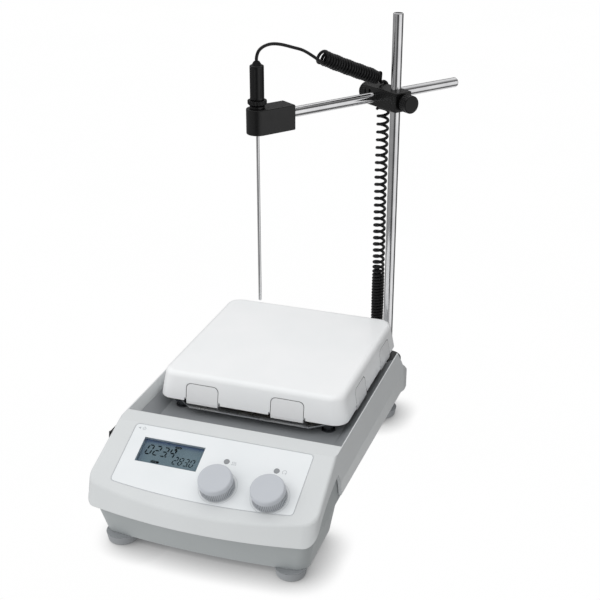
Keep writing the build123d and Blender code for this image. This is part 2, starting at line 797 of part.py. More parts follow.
def encoders():
    """Rotary encoders soldered to the board, bored for the turning shaft."""
    made = []
    for x in KNOB_XS.values():
        body = panel_box(x, KNOB_S, 12.5, 13.5, 4, BOARD_DEPTH)
        body += panel_pin(3.9, x, KNOB_S, -0.5, 4)
        body -= panel_pin(KNOB_SHAFT_R + RUNNING_GAP, x, KNOB_S, -2, 8.2)
        body -= panel_pin(1.6, x, KNOB_S, 8, 20)
        made.append(body)
    return solids(made)


def knob_plunger(x):
    """Push-switch plunger at the foot of the shaft; it slides but doesn't turn."""
    return panel_pin(1.5, x, KNOB_S, 7.4, 9.4)


def knob_shaft(x):
    """Steel encoder shaft with a flat for the knob."""
    shaft = panel_pin(KNOB_SHAFT_R, x, KNOB_S, -KNOB_LIFT - 9.5, 7.35)
    flat = on_panel(x, KNOB_S, -KNOB_LIFT - 6.5) * Pos(0, 3.6, 0) * Box(8, 3, 7)
    return shaft - flat


def knob(x):
    """Round knob: smooth crowned top above a finely ribbed skirt."""
    place = on_panel(x, KNOB_S, -KNOB_LIFT)
    skirt = Cone(KNOB_R, KNOB_R - 0.5, 9, align=(Align.CENTER, Align.CENTER, Align.MIN))
    crown = Pos(0, 0, 9) * Cone(
        KNOB_R - 0.1, KNOB_R - 0.7, KNOB_H - 9, align=(Align.CENTER, Align.CENTER, Align.MIN)
    )
    crown = fillet(crown.edges().sort_by(Axis.Z)[-1:], 1.8)
    body = skirt + crown
    groove = Pos(KNOB_R, 0, 4) * Box(2 * RIB_DEPTH, RIB_GAP, 9)
    grooves = [Rot(0, 0, 360 / KNOB_RIBS * i) * groove for i in range(KNOB_RIBS)]
    body -= grooves
    inside = Cylinder(KNOB_R - 2.4, 8, align=(Align.CENTER, Align.CENTER, Align.MIN))
    hub = Pos(0, 0, 2) * Cylinder(5, 6, align=(Align.CENTER, Align.CENTER, Align.MIN))
    body -= Pos(0, 0, -0.5) * (inside - hub)
    return place * body - knob_shaft(x)


def rocker_place():
    """Plane of the left wall at the rocker: local z leaves the wall, local x runs rearward."""
    wall_x = HALF_WIDTH - SIDE_LEAN * (ROCKER_Z - CREASE_Z)
    plane = Plane(
        origin=(-wall_x, ROCKER_Y, ROCKER_Z), x_dir=(0, 1, 0), z_dir=(-1, 0, SIDE_LEAN)
    )
    return Location(plane)


def power_switch_housing():
    """Snap-in switch body with a thin bezel outside the wall."""
    bezel = Pos(0, 0, 0.75) * Box(15.4, 10.8, 1.4)
    bezel = fillet(bezel.edges().filter_by(Axis.Z), 1.2)
    body = Pos(0, 0, -5.95) * Box(13.6, 8.6, 12)
    opening_length = 2 * ROCKER_HALF_LENGTH + 2
    opening = Pos(0, 0, -3) * Box(opening_length, 2 * ROCKER_HALF_HEIGHT + 0.4, 14)
    switch = bezel + body - opening
    for offset in (-3.5, 3.5):
        switch += Pos(offset, 0, -14.5) * Box(0.8, 4.8, 5.2)
    pivot = Rot(90, 0, 0) * Cylinder(0.8, 2 * ROCKER_HALF_HEIGHT + 1)
    return rocker_place() * (switch + Pos(0, 0, -ROCKER_PIVOT) * pivot)


def power_rocker():
    """Rocker with two raised ends, resting with its front end pressed."""
    end = ROCKER_HALF_LENGTH
    points = [
        (-end, -1.2),
        (-end, 2.9),
        (0, 1.6),
        (end, 2.9),
        (end, -1.2),
        (2.2, -5),
        (-2.2, -5),
    ]
    face = make_face(Polyline(*points, close=True))
    bar = extrude(Plane.XZ * face, ROCKER_HALF_HEIGHT, both=True)
    bar -= Pos(0, 0, -ROCKER_PIVOT) * Rot(90, 0, 0) * Cylinder(0.8 + RUNNING_GAP, 20)
    tilted = Rot(0, ROCKER_TILT, 0) * Pos(0, 0, ROCKER_PIVOT) * bar
    return rocker_place() * Pos(0, 0, -ROCKER_PIVOT) * tilted


def power_board():
    """Power board on the casting floor, with its relays and capacitors soldered on."""
    board = box(-98, -56, -106, 36, 50, 51.6)
    for x, y in power_board_posts():
        board -= cylinder(1.6, 45, 55, x, y)
    for y in (-86, -68):
        board += box(-92, -77, y, y + 14, 51.6, 62)
    for y in (-40, -24, -8):
        board += cylinder(6, 51.6, 64, -86, y)
    return board + box(-72, -62, -80, 0, 51.6, 57)


def transformer():
    """Mains transformer: laminated core with its winding, right of the motor."""
    core = box(62, 94, -62, -14, 43.2, 64)
    core -= box(66, 90, -55, -44, 46, 66)
    core -= box(66, 90, -32, -21, 46, 66)
    winding = box(64, 92, -44, -32, 46.5, 65.5)
    return core + winding


def heat_sink():
    """Finned bar for the heater's triac."""
    bar = box(62, 92, -102, -98, 43.2, 64)
    for i in range(6):
        bar += box(63 + 5 * i, 65 + 5 * i, -98, -84, 43.2, 64)
    return bar


def mains_inlet():
    """Appliance inlet with a bay for the fuse drawer beside it."""
    y = CAST_REAR_Y
    flange = box(INLET_X - 27, INLET_X + 27, y, y + 2, SOCKET_Z - 13, SOCKET_Z + 13)
    flange = fillet(flange.edges().filter_by(Axis.Y), 3)
    body = box(INLET_X - 23, INLET_X + 23, y - 20.6, y, SOCKET_Z - 11, SOCKET_Z + 11)
    inlet = flange + body
    mouth = box(INLET_X - 19, INLET_X + 5.5, y - 17, y + 5, SOCKET_Z - 8, SOCKET_Z + 8)
    inlet -= chamfer(mouth.edges().filter_by(Axis.Y).sort_by(Axis.Z)[-2:], 4)
    for offset, z in ((-13.7, -1.5), (-6.7, 1.5), (0.3, -1.5)):
        x = INLET_X + offset
        inlet += box(x - 1, x + 1, y - 18, y - 3, SOCKET_Z + z - 2, SOCKET_Z + z + 2)
    return inlet - box(
        INLET_X + 10.5, INLET_X + 20.5, y - 19.6, y + 5, SOCKET_Z - 9, SOCKET_Z + 9
    )


def fuse_drawer():
    """Drawer beside the inlet with two bays for fuses and a finger lip."""
    x0, x1 = INLET_X + 10.6, INLET_X + 20.4
    y = CAST_REAR_Y
    drawer = box(x0, x1, y - 19.4, y + 2.2, SOCKET_Z - 8.9, SOCKET_Z + 8.9)
    drawer += box(x0, x1, y + 2.1, y + 4, SOCKET_Z + 4, SOCKET_Z + 8.9)
    for z in (-4.4, 4.4):
        drawer -= box(x0 + 2.2, x1 + 1, y - 18.6, y + 2, SOCKET_Z + z - 3, SOCKET_Z + z + 3)
    return drawer


def fuses():
    """Two glass fuses with metal caps, lying along the drawer."""
    y = CAST_REAR_Y
    x = INLET_X + 15.6
    made = []
    for z in (-4.4, 4.4):
        tube = along_y(2.2, y - 18.4, y + 1.6, x, SOCKET_Z + z)
        for end in (y - 18.4, y - 3.4):
            tube += along_y(2.6, end, end + 5, x, SOCKET_Z + z)
        made.append(tube)
    return solids(made)


def serial_port():
    """Nine-pin port: flange, shell and pin block."""
    y = CAST_REAR_Y
    flange = box(SERIAL_X - 15.5, SERIAL_X + 15.5, y, y + 1, SOCKET_Z - 6.2, SOCKET_Z + 6.2)
    flange = fillet(flange.edges().filter_by(Axis.Y), 1.5)
    port = flange + box(SERIAL_X - 9, SERIAL_X + 9, y - 10, y, SOCKET_Z - 4.6, SOCKET_Z + 4.6)
    outline = [(-8.4, 4), (8.4, 4), (7.2, -4), (-7.2, -4)]
    points = [(SERIAL_X + a, SOCKET_Z + b) for a, b in outline]
    shell = extrude(make_face(Plane.XZ * Polyline(*points, close=True)), -(y + 6))
    port += shell & box(-50, 50, y, y + 6, 0, 60)
    inner = [(SERIAL_X + a * 0.9, SOCKET_Z + b * 0.85) for a, b in outline]
    hollow = extrude(make_face(Plane.XZ * Polyline(*inner, close=True)), -(y + 8))
    port -= hollow & box(-50, 50, y + 0.5, y + 8, 0, 60)
    for row, count, first in ((1.4, 5, -5.5), (-1.4, 4, -4.1)):
        for i in range(count):
            x = SERIAL_X + first + 2.75 * i
            port += along_y(0.5, y, y + 5, x, SOCKET_Z + row)
    for offset in (-12.5, 12.5):
        nut = Pos(SERIAL_X + offset, y + 3, SOCKET_Z) * Rot(90, 0, 0)
        port += nut * extrude(RegularPolygon(2.6, 6), 2.5, both=True)
    return port


def sensor_socket():
    """Round socket for the probe's plug, with its nut outside the wall."""
    y = CAST_REAR_Y
    socket = along_y(7, y - 12, y, SENSOR_X, SOCKET_Z)
    socket += along_y(9.5, y, y + 2, SENSOR_X, SOCKET_Z)
    socket += along_y(7.6, y + 2, y + 4, SENSOR_X, SOCKET_Z)
    return socket - along_y(5.6, y - 8, y + 5, SENSOR_X, SOCKET_Z)


def sensor_plug():
    """Plug pushed into the socket, with a tapered grip."""
    y = CAST_REAR_Y
    plug = along_y(5.5, y - 6, y + 6, SENSOR_X, SOCKET_Z)
    plug += along_y(7.4, y + 4.6, y + 18, SENSOR_X, SOCKET_Z)
    grip = Pos(SENSOR_X, y + 21, SOCKET_Z) * Rot(-90, 0, 0) * Cone(6.4, 3, 6)
    plug += grip
    for i in range(5):
        groove_y = y + 7 + 2 * i
        ring = along_y(8, groove_y, groove_y + 0.8, SENSOR_X, SOCKET_Z)
        plug -= ring - along_y(6.9, groove_y - 1, groove_y + 2, SENSOR_X, SOCKET_Z)
    return plug


def rod_socket():
    """Steel bush in the rear shelf that takes the foot of the support rod."""
    bush = cylinder(9, ROD_BOTTOM_Z - 4, SOCKET_TOP_Z - 2, ROD_X, ROD_Y)
    bush += cylinder(13, SOCKET_TOP_Z - 2, SOCKET_TOP_Z, ROD_X, ROD_Y)
    return bush - cylinder(ROD_R + BORE_GAP, ROD_BOTTOM_Z - 1, 60, ROD_X, ROD_Y)


def board_screw(place):
    """Pan-head M3 screw, head up at the given place."""
    head = Pos(0, 0, 1) * Cylinder(2.7, 2)
    head = fillet(head.edges().sort_by(Axis.Z)[-1:], 0.8)
    screw = head - Pos(0, 0, 1.8) * Box(3.6, 0.7, 1.2) + Pos(0, 0, -3) * Cylinder(1.5, 6)
    return place * screw


def board_screws():
    """All the M3 screws: motor bracket, power board and control board."""
    made = []
    for angle in (90, 210, 330):
        x = BRACKET_LEG_R * cos(radians(angle))
        y = BRACKET_LEG_R * sin(radians(angle))
        made.append(board_screw(Pos(x, y, MOTOR_TOP_Z + 2)))
    made += [board_screw(Pos(x, y, 51.6)) for x, y in power_board_posts()]
    for x, s in BOARD_POSTS:
        made.append(board_screw(on_panel(x, s, BOARD_DEPTH + BOARD_THICK) * Rot(180, 0, 0)))
    return solids(made)


def ribbon_cable():
    """Flat cable from the control board back to the power board."""
    start = on_panel(-40, 54, BOARD_DEPTH + BOARD_THICK + 0.7).position
    points = [
        (start.Y, start.Z),
        (start.Y + 2, start.Z - 8),
        (start.Y + 32, 53),
        (-122, 53),
        (-110, 52.6),
        (-103, 52.6),
    ]
    upper = Spline(*[(0, y, z) for y, z in points])
    section = Plane(origin=upper @ 0, z_dir=upper % 0, x_dir=(1, 0, 0)) * Rectangle(16, 0.9)
    return Pos(-65, 0, 0) * sweep(section, upper)


def arm_place():
    """Clamp frame: local x runs to the arm's side, local y to the arm's front, z up."""
    angle = radians(ARM_ANGLE)
    plane = Plane(
        origin=(ROD_X, ROD_Y, ARM_Z), x_dir=(-sin(angle), cos(angle), 0), z_dir=(0, 0, 1)
    )
    return Location(plane)


def arm_point(t, n, z):
    """Point t along the arm towards its rear, n to its left and at height z."""
    placed = arm_place() * Pos(ARM_OFFSET + n, -t, z - ARM_Z)
    return placed.position


def rounded_rod(radius, length):
    """Bar with softly turned ends, centred on the origin."""
    bar = Cylinder(radius, length)
    return fillet(bar.edges(), 1.2)


def support_rod():
    """Upright steel rod."""
    length = ROD_TOP_Z - ROD_BOTTOM_Z
    return Pos(ROD_X, ROD_Y, ROD_BOTTOM_Z + length / 2) * rounded_rod(ROD_R, length)


def rod_collar():
    """Knurled lock ring at the rod's foot."""
    low = SOCKET_TOP_Z + 0.1
    ring = cylinder(COLLAR_R, low, low + COLLAR_H)
    ring = fillet(ring.edges().sort_by(Axis.Z)[-1:], 2)
    groove = cylinder(0.9, low - 1, low + COLLAR_H + 1, COLLAR_R + 0.3)
    centred = Pos(ROD_X, ROD_Y, 0)
    ring = centred * (ring - [Rot(0, 0, 15 * i) * groove for i in range(24)])
    return ring - cylinder(ROD_R, low - 1, low + COLLAR_H + 1, ROD_X, ROD_Y)


def clamp_block():
    """Boss head: one block bored upright for the rod and crosswise for the arm."""
    length = BLOCK_LEFT + BLOCK_RIGHT
    body = Box(length, 2 * BLOCK_HALF_DEPTH, 2 * BLOCK_HALF_HEIGHT)
    body = fillet(body.edges(), 1)
    body = Pos((BLOCK_LEFT - BLOCK_RIGHT) / 2, 0, 0) * body
    body -= Cylinder(ROD_R + BORE_GAP, 60)
    body -= Pos(ARM_OFFSET, 0, 0) * Rot(90, 0, 0) * Cylinder(ROD_R + BORE_GAP, 60)
    body -= Pos(-15, 0, 0) * Rot(0, 90, 0) * Cylinder(3 + RUNNING_GAP, 20)
    body -= Pos(BLOCK_LEFT, 0, 0) * Rot(0, 90, 0) * Cylinder(3 + RUNNING_GAP, 20)
    body -= Pos(28.5, BLOCK_HALF_DEPTH, 4.5) * Rot(90, 0, 0) * Cylinder(1.8, 6)
    return arm_place() * body


def thumb_screw(toward_rod, far):
    """Thumb screw along local z: screw end, short neck and knurled head."""
    stem = Pos(0, 0, (toward_rod + far + 1) / 2) * Cylinder(3, far + 1 - toward_rod)
    neck = Pos(0, 0, far + 1.6) * Cylinder(5.2, 2.8)
    head = Pos(0, 0, far + 3 + THUMB_H / 2) * Cylinder(THUMB_R, THUMB_H)
    head = fillet(head.edges(), 1.3)
    groove = Pos(THUMB_R + 0.2, 0, far + 3 + THUMB_H / 2 - 1) * Cylinder(0.7, THUMB_H - 3.5)
    head -= [Rot(0, 0, 15 * i) * groove for i in range(24)]
    return stem + neck + head


def rod_clamp_screw():
    """Thumb screw that grips the upright rod."""
    turned = Rot(0, -90, 0) * thumb_screw(ROD_R + 0.15, BLOCK_RIGHT)
    return arm_place() * turned


def arm_clamp_screw():
    """Thumb screw that grips the arm."""
    turned = Rot(0, 90, 0) * thumb_screw(ARM_OFFSET + ROD_R + 0.15, BLOCK_LEFT)
    return arm_place() * turned


def arm_rod():
    """Steel arm, its front end sunk in the probe holder."""
    length = ARM_REAR - ARM_FRONT
    bar = Rot(90, 0, 0) * rounded_rod(ROD_R, length)
    return arm_place() * Pos(ARM_OFFSET, -(ARM_REAR + ARM_FRONT) / 2, 0) * bar


def probe_holder():
    """Holder block with a half-round nose, bored for the probe and for the arm."""
    length = HOLDER_NEAR - PROBE_T
    mid_z = (HOLDER_BASE_Z + HOLDER_TOP_Z) / 2
    height = HOLDER_TOP_Z - HOLDER_BASE_Z
    body = Pos(ARM_OFFSET, -(HOLDER_NEAR + PROBE_T) / 2, 0) * Box(2 * HOLDER_R, length, height)
    body += Pos(ARM_OFFSET, -PROBE_T, 0) * Cylinder(HOLDER_R, height)
    body = fillet(body.edges().filter_by(Axis.Z).sort_by(Axis.Y)[:2], 1.2)
    body = fillet(body.faces().sort_by(Axis.Z)[-1].edges(), 1.2)
    body = fillet(body.faces().sort_by(Axis.Z)[0].edges(), 0.8)
    body -= Pos(ARM_OFFSET, -PROBE_T, 0) * Cylinder(NECK_R + BORE_GAP, 60)
    placed = arm_place() * Pos(0, 0, mid_z - ARM_Z) * body
    placed += probe_bush()
    return placed - arm_rod()


def probe_bush():
    """Guide at the bottom of the holder's bore, just wider than the probe's stem."""
    ring = Cylinder(NECK_R + 0.6, 4) - Cylinder(STEM_R + BORE_GAP, 10)
    return arm_place() * Pos(ARM_OFFSET, -PROBE_T, HOLDER_BASE_Z + 3 - ARM_Z) * ring


def at_probe(shape, low, high):
    """Put a centred upright shape on the probe's axis between two heights."""
    return arm_place() * Pos(ARM_OFFSET, -PROBE_T, (low + high) / 2 - ARM_Z) * shape


def probe_stem():
    """Stainless stem with a rounded tip and a thicker neck in the holder."""
    low, high = STEM_TIP_Z, HOLDER_BASE_Z + 8
    stem = Cylinder(STEM_R, high - low)
    stem = at_probe(fillet(stem.edges().sort_by(Axis.Z)[:1], 1.2), low, high)
    return stem + at_probe(Cylinder(NECK_R, 24), high - 2, high + 22)


def probe_nut():
    """Collar nut that rests above the holder."""
    low, high = HOLDER_TOP_Z + 2.2, HANDLE_BASE_Z - 0.1
    ring = Cylinder(NUT_R, high - low)
    ring = chamfer(ring.edges().sort_by(Axis.Z)[:1], 2.4)
    ring = fillet(ring.edges().sort_by(Axis.Z)[-1:], 0.8)
    groove = Pos(NUT_R + 0.4, 0, 0) * Cylinder(1, 12)
    ring -= [Rot(0, 0, 20 * i) * groove for i in range(18)]
    ring -= Cylinder(NECK_R, 20)
    stop = at_probe(Cylinder(NECK_R + 2, 2) - Cylinder(NECK_R, 4), HOLDER_TOP_Z + 0.2, low)
    return at_probe(ring, low, high) + stop


def probe_handle():
    """Grip with long flutes and a conical cable end."""
    low, high = HANDLE_BASE_Z, HANDLE_TOP_Z
    grip = Cylinder(HANDLE_R, high - low)
    grip = fillet(grip.edges(), 0.9)
    flute = Pos(HANDLE_R + 0.55, 0, 0) * Cylinder(0.9, high - low - 5)
    grip -= [Rot(0, 0, 45 * i) * flute for i in range(8)]
    grip = at_probe(grip, low, high)
    return grip + at_probe(Cone(HANDLE_R - 1.6, 2.6, HANDLE_END_Z - high), high, HANDLE_END_Z)


def tube_along(points, radius):
    """Round cord of one radius through the given points."""
    path = Spline(*points)
    section = Plane(origin=path @ 0, z_dir=path % 0) * Circle(radius)
    return sweep(section, path)


def probe_lead():
    """Plain lead arching from the grip to the start of the coil."""
    points = [
        arm_point(PROBE_T, 0, HANDLE_END_Z + 0.2),
        arm_point(PROBE_T, 0, 397),
        arm_point(PROBE_T + 2.5, 0, 402.5),
        arm_point(PROBE_T + 8, 0, 405.8),
        arm_point(PROBE_T + 16, 0, 407),
        arm_point(PROBE_T + 34, 0, 403),
        arm_point(PROBE_T + 56, 0, 394.5),
        arm_point(PROBE_T + 69.5, 0, 389.4),
    ]
    return tube_along(points, CABLE_R)


def upper_coil():
    """Dense coil from the lead down to the clamp, as its outer envelope."""
    points = [
        arm_point(-76.5, 0, 388.7),
        arm_point(-60, 0, 381),
        arm_point(-40, 0, 372.3),
        arm_point(-20, 0, 363.9),
        arm_point(-7, 0, 358.5),
    ]
    return tube_along(points, UPPER_COIL_R)


def cable_link():
    """Length of cord over the clamp's rear edge, between the two coils."""
    points = [
        arm_point(-5, 0, 357.8),
        arm_point(3, 2, 356.5),
        arm_point(10, 6, 354),
        arm_point(13.5, 8, 346),
        arm_point(13.5, 8, 334),
        arm_point(11.5, 6.8, 329.2),
        arm_point(7.8, 4.6, 325.8),
    ]
    return tube_along(points, CABLE_R)


def hanging_coil():
    """Hanging coil beside the rod, as its outer envelope."""
    return cylinder(HANG_COIL_R, HANG_BOTTOM_Z, HANG_TOP_Z, HANG_X, HANG_Y)


def cable_tail():
    """Cord from the foot of the coil down to the plug."""
    plug_end = CAST_REAR_Y + 24.2
    points = [
        (HANG_X - 5, HANG_Y, HANG_BOTTOM_Z - 0.2),
        (HANG_X - 6, HANG_Y + 3, HANG_BOTTOM_Z - 8),
        (HANG_X - 9, HANG_Y + 18, HANG_BOTTOM_Z - 18),
        (HANG_X - 13, HANG_Y + 32, 42),
        (SENSOR_X + 2, plug_end + 12, 28),
        (SENSOR_X, plug_end, SOCKET_Z),
    ]
    return tube_along(points, CABLE_R)


save(base_casting(), "base_casting")
save(upper_housing(), "upper_housing")
save(deck_plate(), "deck_plate")
save(solids([foot(x, y) for x, y in FOOT_SPOTS]), "feet")
save(case_screws(), "case_screws")
save(board_screws(), "board_screws")
save(hot_plate(), "hot_plate")
save(plate_clips(), "plate_clips")
save(heater_element(), "heater_element")
save(insulation_pad(), "insulation_pad")
save(heat_shield(), "heat_shield")
save(solids([plate_post(x, y) for x, y in POST_SPOTS]), "plate_posts")
save(plate_sensor(), "plate_sensor")
save(motor_bracket(), "motor_bracket")
save(motor_housing(), "motor_housing")
save(motor_stator(), "motor_stator")
save(solids([bearing(MOTOR_BASE_Z + 1), bearing(MOTOR_TOP_Z - BEARING_H)]), "motor_bearings")
save(motor_shaft(), "motor_shaft")
save(magnet_carrier(), "magnet_carrier")
save(drive_magnets(), "drive_magnets")
save(panel_overlay(), "panel_overlay")
save(lcd_window(), "lcd_window")
save(lcd_module(), "lcd_module")
save(control_board(), "control_board")
save(indicator_lenses(), "indicator_lenses")
save(encoders(), "encoders")
for name, x in KNOB_XS.items():
    save(knob(x), f"{name}_knob")
    save(knob_shaft(x), f"{name}_shaft")
    save(knob_plunger(x), f"{name}_plunger")
save(power_switch_housing(), "power_switch_housing")
save(power_rocker(), "power_rocker")
save(power_board(), "power_board")
save(transformer(), "transformer")
save(heat_sink(), "heat_sink")
save(ribbon_cable(), "ribbon_cable")
save(mains_inlet(), "mains_inlet")
save(fuse_drawer(), "fuse_drawer")
save(fuses(), "fuses")
save(serial_port(), "serial_port")
save(sensor_socket(), "sensor_socket")
save(sensor_plug(), "sensor_plug")
save(rod_socket(), "rod_socket")
save(support_rod(), "support_rod")
save(rod_collar(), "rod_collar")
save(clamp_block(), "clamp_block")
save(rod_clamp_screw(), "rod_clamp_screw")
save(arm_clamp_screw(), "arm_clamp_screw")
save(arm_rod(), "arm_rod")
save(probe_holder(), "probe_holder")
save(probe_stem(), "probe_stem")
save(probe_nut(), "probe_nut")
save(probe_handle(), "probe_handle")
save(probe_lead(), "probe_lead")
save(upper_coil(), "upper_coil")
save(cable_link(), "cable_link")
save(hanging_coil(), "hanging_coil")
save(cable_tail(), "cable_tail")
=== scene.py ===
"""Looks for a hot-plate magnetic stirrer with a probe stand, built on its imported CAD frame."""
import json
import math

import bmesh
import bpy
from mathutils import Matrix, Vector


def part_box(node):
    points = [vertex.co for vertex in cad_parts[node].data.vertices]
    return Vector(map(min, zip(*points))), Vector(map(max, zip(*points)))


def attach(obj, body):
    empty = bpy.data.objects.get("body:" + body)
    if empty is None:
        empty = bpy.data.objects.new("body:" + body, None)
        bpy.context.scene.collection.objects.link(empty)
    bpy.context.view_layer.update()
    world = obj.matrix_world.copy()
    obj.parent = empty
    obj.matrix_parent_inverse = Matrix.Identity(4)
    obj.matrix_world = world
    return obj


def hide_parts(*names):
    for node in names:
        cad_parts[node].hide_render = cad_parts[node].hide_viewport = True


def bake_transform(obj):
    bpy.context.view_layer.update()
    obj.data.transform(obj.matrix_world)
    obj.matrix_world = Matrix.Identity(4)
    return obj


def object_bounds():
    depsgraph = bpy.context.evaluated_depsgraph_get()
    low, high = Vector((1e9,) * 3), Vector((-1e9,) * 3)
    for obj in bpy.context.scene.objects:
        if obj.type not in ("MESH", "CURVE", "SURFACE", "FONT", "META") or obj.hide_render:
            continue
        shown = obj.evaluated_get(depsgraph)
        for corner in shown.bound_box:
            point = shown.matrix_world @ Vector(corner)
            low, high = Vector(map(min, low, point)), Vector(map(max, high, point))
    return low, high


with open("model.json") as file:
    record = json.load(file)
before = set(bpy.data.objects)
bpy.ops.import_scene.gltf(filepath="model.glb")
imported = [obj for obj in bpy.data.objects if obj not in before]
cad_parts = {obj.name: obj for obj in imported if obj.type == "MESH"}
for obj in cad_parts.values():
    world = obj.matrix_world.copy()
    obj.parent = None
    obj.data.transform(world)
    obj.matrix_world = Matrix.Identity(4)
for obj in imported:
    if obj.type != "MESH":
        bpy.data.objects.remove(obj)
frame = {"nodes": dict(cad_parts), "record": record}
cad_low, cad_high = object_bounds()

MM = 0.001
NODES = frame["nodes"]
JOINTS = {joint["name"]: joint for joint in frame["record"]["behaviour"]["joints"]}

CAMERA_PLACE = (0.35898, -0.99116, 0.52270)
CAMERA_AIM = (-0.01788, 0.1056, 0.0)
CAMERA_LENS = 70.706
CAMERA_AZIMUTH = math.radians(18.96)

# In millimetres: how far round a point a gap's shade reaches, and the width, thickness and
# lift off the overlay of printed lines.
GAP_REACH = 1.6
PRINT_LINE = 0.3
PRINT_THICK = 0.03
PRINT_LIFT = 0.01


# ---------------------------------------------------------------- materials

def rgb(red, green, blue):
    """Linear colour for a screen colour given as 0 to 255."""
    shares = [value / 255 for value in (red, green, blue)]
    return tuple(v / 12.92 if v <= 0.04045 else ((v + 0.055) / 1.055) ** 2.4 for v in shares)


def scaled(colour, factor):
    """Colour made lighter or darker."""
    return tuple(min(1.0, part * factor) for part in colour)


class Shader:
    """A node material being built; lengths in its textures are in millimetres."""

    def __init__(self, name):
        self.material = bpy.data.materials.new(name)
        self.material.use_nodes = True
        self.tree = self.material.node_tree
        self.tree.nodes.clear()
        self.base = self.add("BsdfPrincipled")
        self.end = self.add("OutputMaterial")
        self.tree.links.new(self.base.outputs[0], self.end.inputs["Surface"])
        self.point = self.vector("SCALE", self.add("TexCoord").outputs["Object"], factor=1000.0)

    def add(self, kind, **options):
        """New node of a kind, with its settings."""
        node = self.tree.nodes.new("ShaderNode" + kind)
        for name, value in options.items():
            setattr(node, name, value)
        return node

    def plug(self, socket, value):
        """Join another node's output to an input, or set its value."""
        if isinstance(value, bpy.types.NodeSocket):
            self.tree.links.new(value, socket)
        elif socket.type == "RGBA":
            socket.default_value = (*value[:3], 1.0)
        else:
            socket.default_value = value

    def set(self, **values):
        """Set inputs of the main surface; underscores in a name stand for spaces."""
        for name, value in values.items():
            self.plug(self.base.inputs[name.replace("_", " ")], value)

    def vector(self, operation, first, second=None, factor=None):
        """Vector maths; a dot product gives a number."""
        node = self.add("VectorMath", operation=operation)
        self.plug(node.inputs[0], first)
        if second is not None:
            self.plug(node.inputs[1], second)
        if factor is not None:
            self.plug(node.inputs["Scale"], factor)
        return node.outputs["Value" if operation in ("DOT_PRODUCT", "LENGTH") else "Vector"]

    def math(self, operation, first, second=0.0):
        """Number maths."""
        node = self.add("Math", operation=operation)
        self.plug(node.inputs[0], first)
        self.plug(node.inputs[1], second)
        return node.outputs[0]

    def span(self, value, low, high, start=0.0, end=1.0):
        """Turn a value's range low to high into start to end, held at both ends."""
        node = self.add("MapRange")
        for name, number in zip(("From Min", "From Max", "To Min", "To Max"), (low, high, start, end)):
            self.plug(node.inputs[name], number)
        self.plug(node.inputs["Value"], value)
        return node.outputs["Result"]

    def stretched(self, size, turn=0.0):
        """Texture place stretched by three lengths, turned about the vertical."""
        node = self.add("Mapping", vector_type="TEXTURE")
        self.plug(node.inputs["Vector"], self.point)
        self.plug(node.inputs["Scale"], size)
        self.plug(node.inputs["Rotation"], (0.0, 0.0, turn))
        return node.outputs["Vector"]

    def noise(self, size, detail=2.0, turn=0.0):
        """Cloudy noise whose lumps are about this size, or stretched to three sizes."""
        node = self.add("TexNoise")
        if isinstance(size, tuple):
            self.plug(node.inputs["Vector"], self.stretched(size, turn))
            self.plug(node.inputs["Scale"], 1.0)
        else:
            self.plug(node.inputs["Vector"], self.point)
            self.plug(node.inputs["Scale"], 1.0 / size)
        self.plug(node.inputs["Detail"], detail)
        return node.outputs[0]

    def mix(self, factor, first, second):
        """Colour between two colours."""
        node = self.add("Mix", data_type="RGBA")
        self.plug(node.inputs[0], factor)
        self.plug(node.inputs[6], first)
        self.plug(node.inputs[7], second)
        return node.outputs[2]

    def bump(self, height, depth, normal=None):
        """Normal of a surface whose height varies by a depth."""
        node = self.add("Bump")
        self.plug(node.inputs["Height"], height)
        self.plug(node.inputs["Distance"], depth * MM)
        if normal is not None:
            self.plug(node.inputs["Normal"], normal)
        return node.outputs["Normal"]

    def edges(self, radius):
        """Normal softened over the edges, and how near an edge each point is."""
        soft = self.add("Bevel", samples=4)
        self.plug(soft.inputs["Radius"], radius * MM)
        plain = self.add("NewGeometry").outputs["Normal"]
        facing = self.vector("DOT_PRODUCT", soft.outputs["Normal"], plain)
        return soft.outputs["Normal"], self.span(facing, 0.99, 0.8)

    def gap_shade_mask(self):
        """How far a point lies inside a narrow groove or gap, as a mask for painted shade there."""
        near = self.add("AmbientOcclusion", samples=8)
        near.inputs["Distance"].default_value = GAP_REACH * MM
        return self.span(near.outputs["AO"], 0.75, 0.2)


def finish(name, colour, rough, metal=0.0, grain=0.5, depth=0.01, tone=0.05, edge=0.3,
           rub=None, rubbed=0.3, coat=0.0, shine=0.5, patches=30.0, painted_gap_shade=0.0):
    """Worked surface: broad and fine shade changes, grain, soft edges, rubbed corners and painted shade in
    narrow gaps.

    Sizes are in millimetres: grain and patches of the texture, its depth, and the edge's softness.
    Shares from 0 to 1: tone (how far the shade varies), rubbed corners, and how dark the painted shade in
    narrow gaps gets.
    """
    s = Shader(name)
    broad = s.span(s.noise(patches, 3.0), 0.3, 0.7)
    fine = s.span(s.noise(grain, 3.0), 0.3, 0.7)
    shade = s.math("ADD", s.math("MULTIPLY", broad, 0.55), s.math("MULTIPLY", fine, 0.45))
    hue = s.mix(shade, scaled(colour, 1 - tone), scaled(colour, 1 + tone))
    normal, near = s.edges(edge)
    worn = s.math("MULTIPLY", near, s.span(s.noise(3.0, 3.0), 0.42, 0.68, 0.0, rubbed))
    hue = s.mix(worn, hue, rub or scaled(colour, 1.25))
    # Painted shade: narrow gaps and grooves darkened towards black.
    if painted_gap_shade:
        hue = s.mix(s.math("MULTIPLY", s.gap_shade_mask(), painted_gap_shade), hue, scaled(colour, 0.12))
    roughness = s.math("ADD", rough - 0.06, s.math("MULTIPLY", s.noise(9.0, 4.0), 0.12))
    s.set(
        Base_Color=hue, Roughness=roughness, Metallic=metal, Coat_Weight=coat,
        Coat_Roughness=0.12, Specular_IOR_Level=shine, Normal=s.bump(fine, depth, normal),
    )
    return s.material


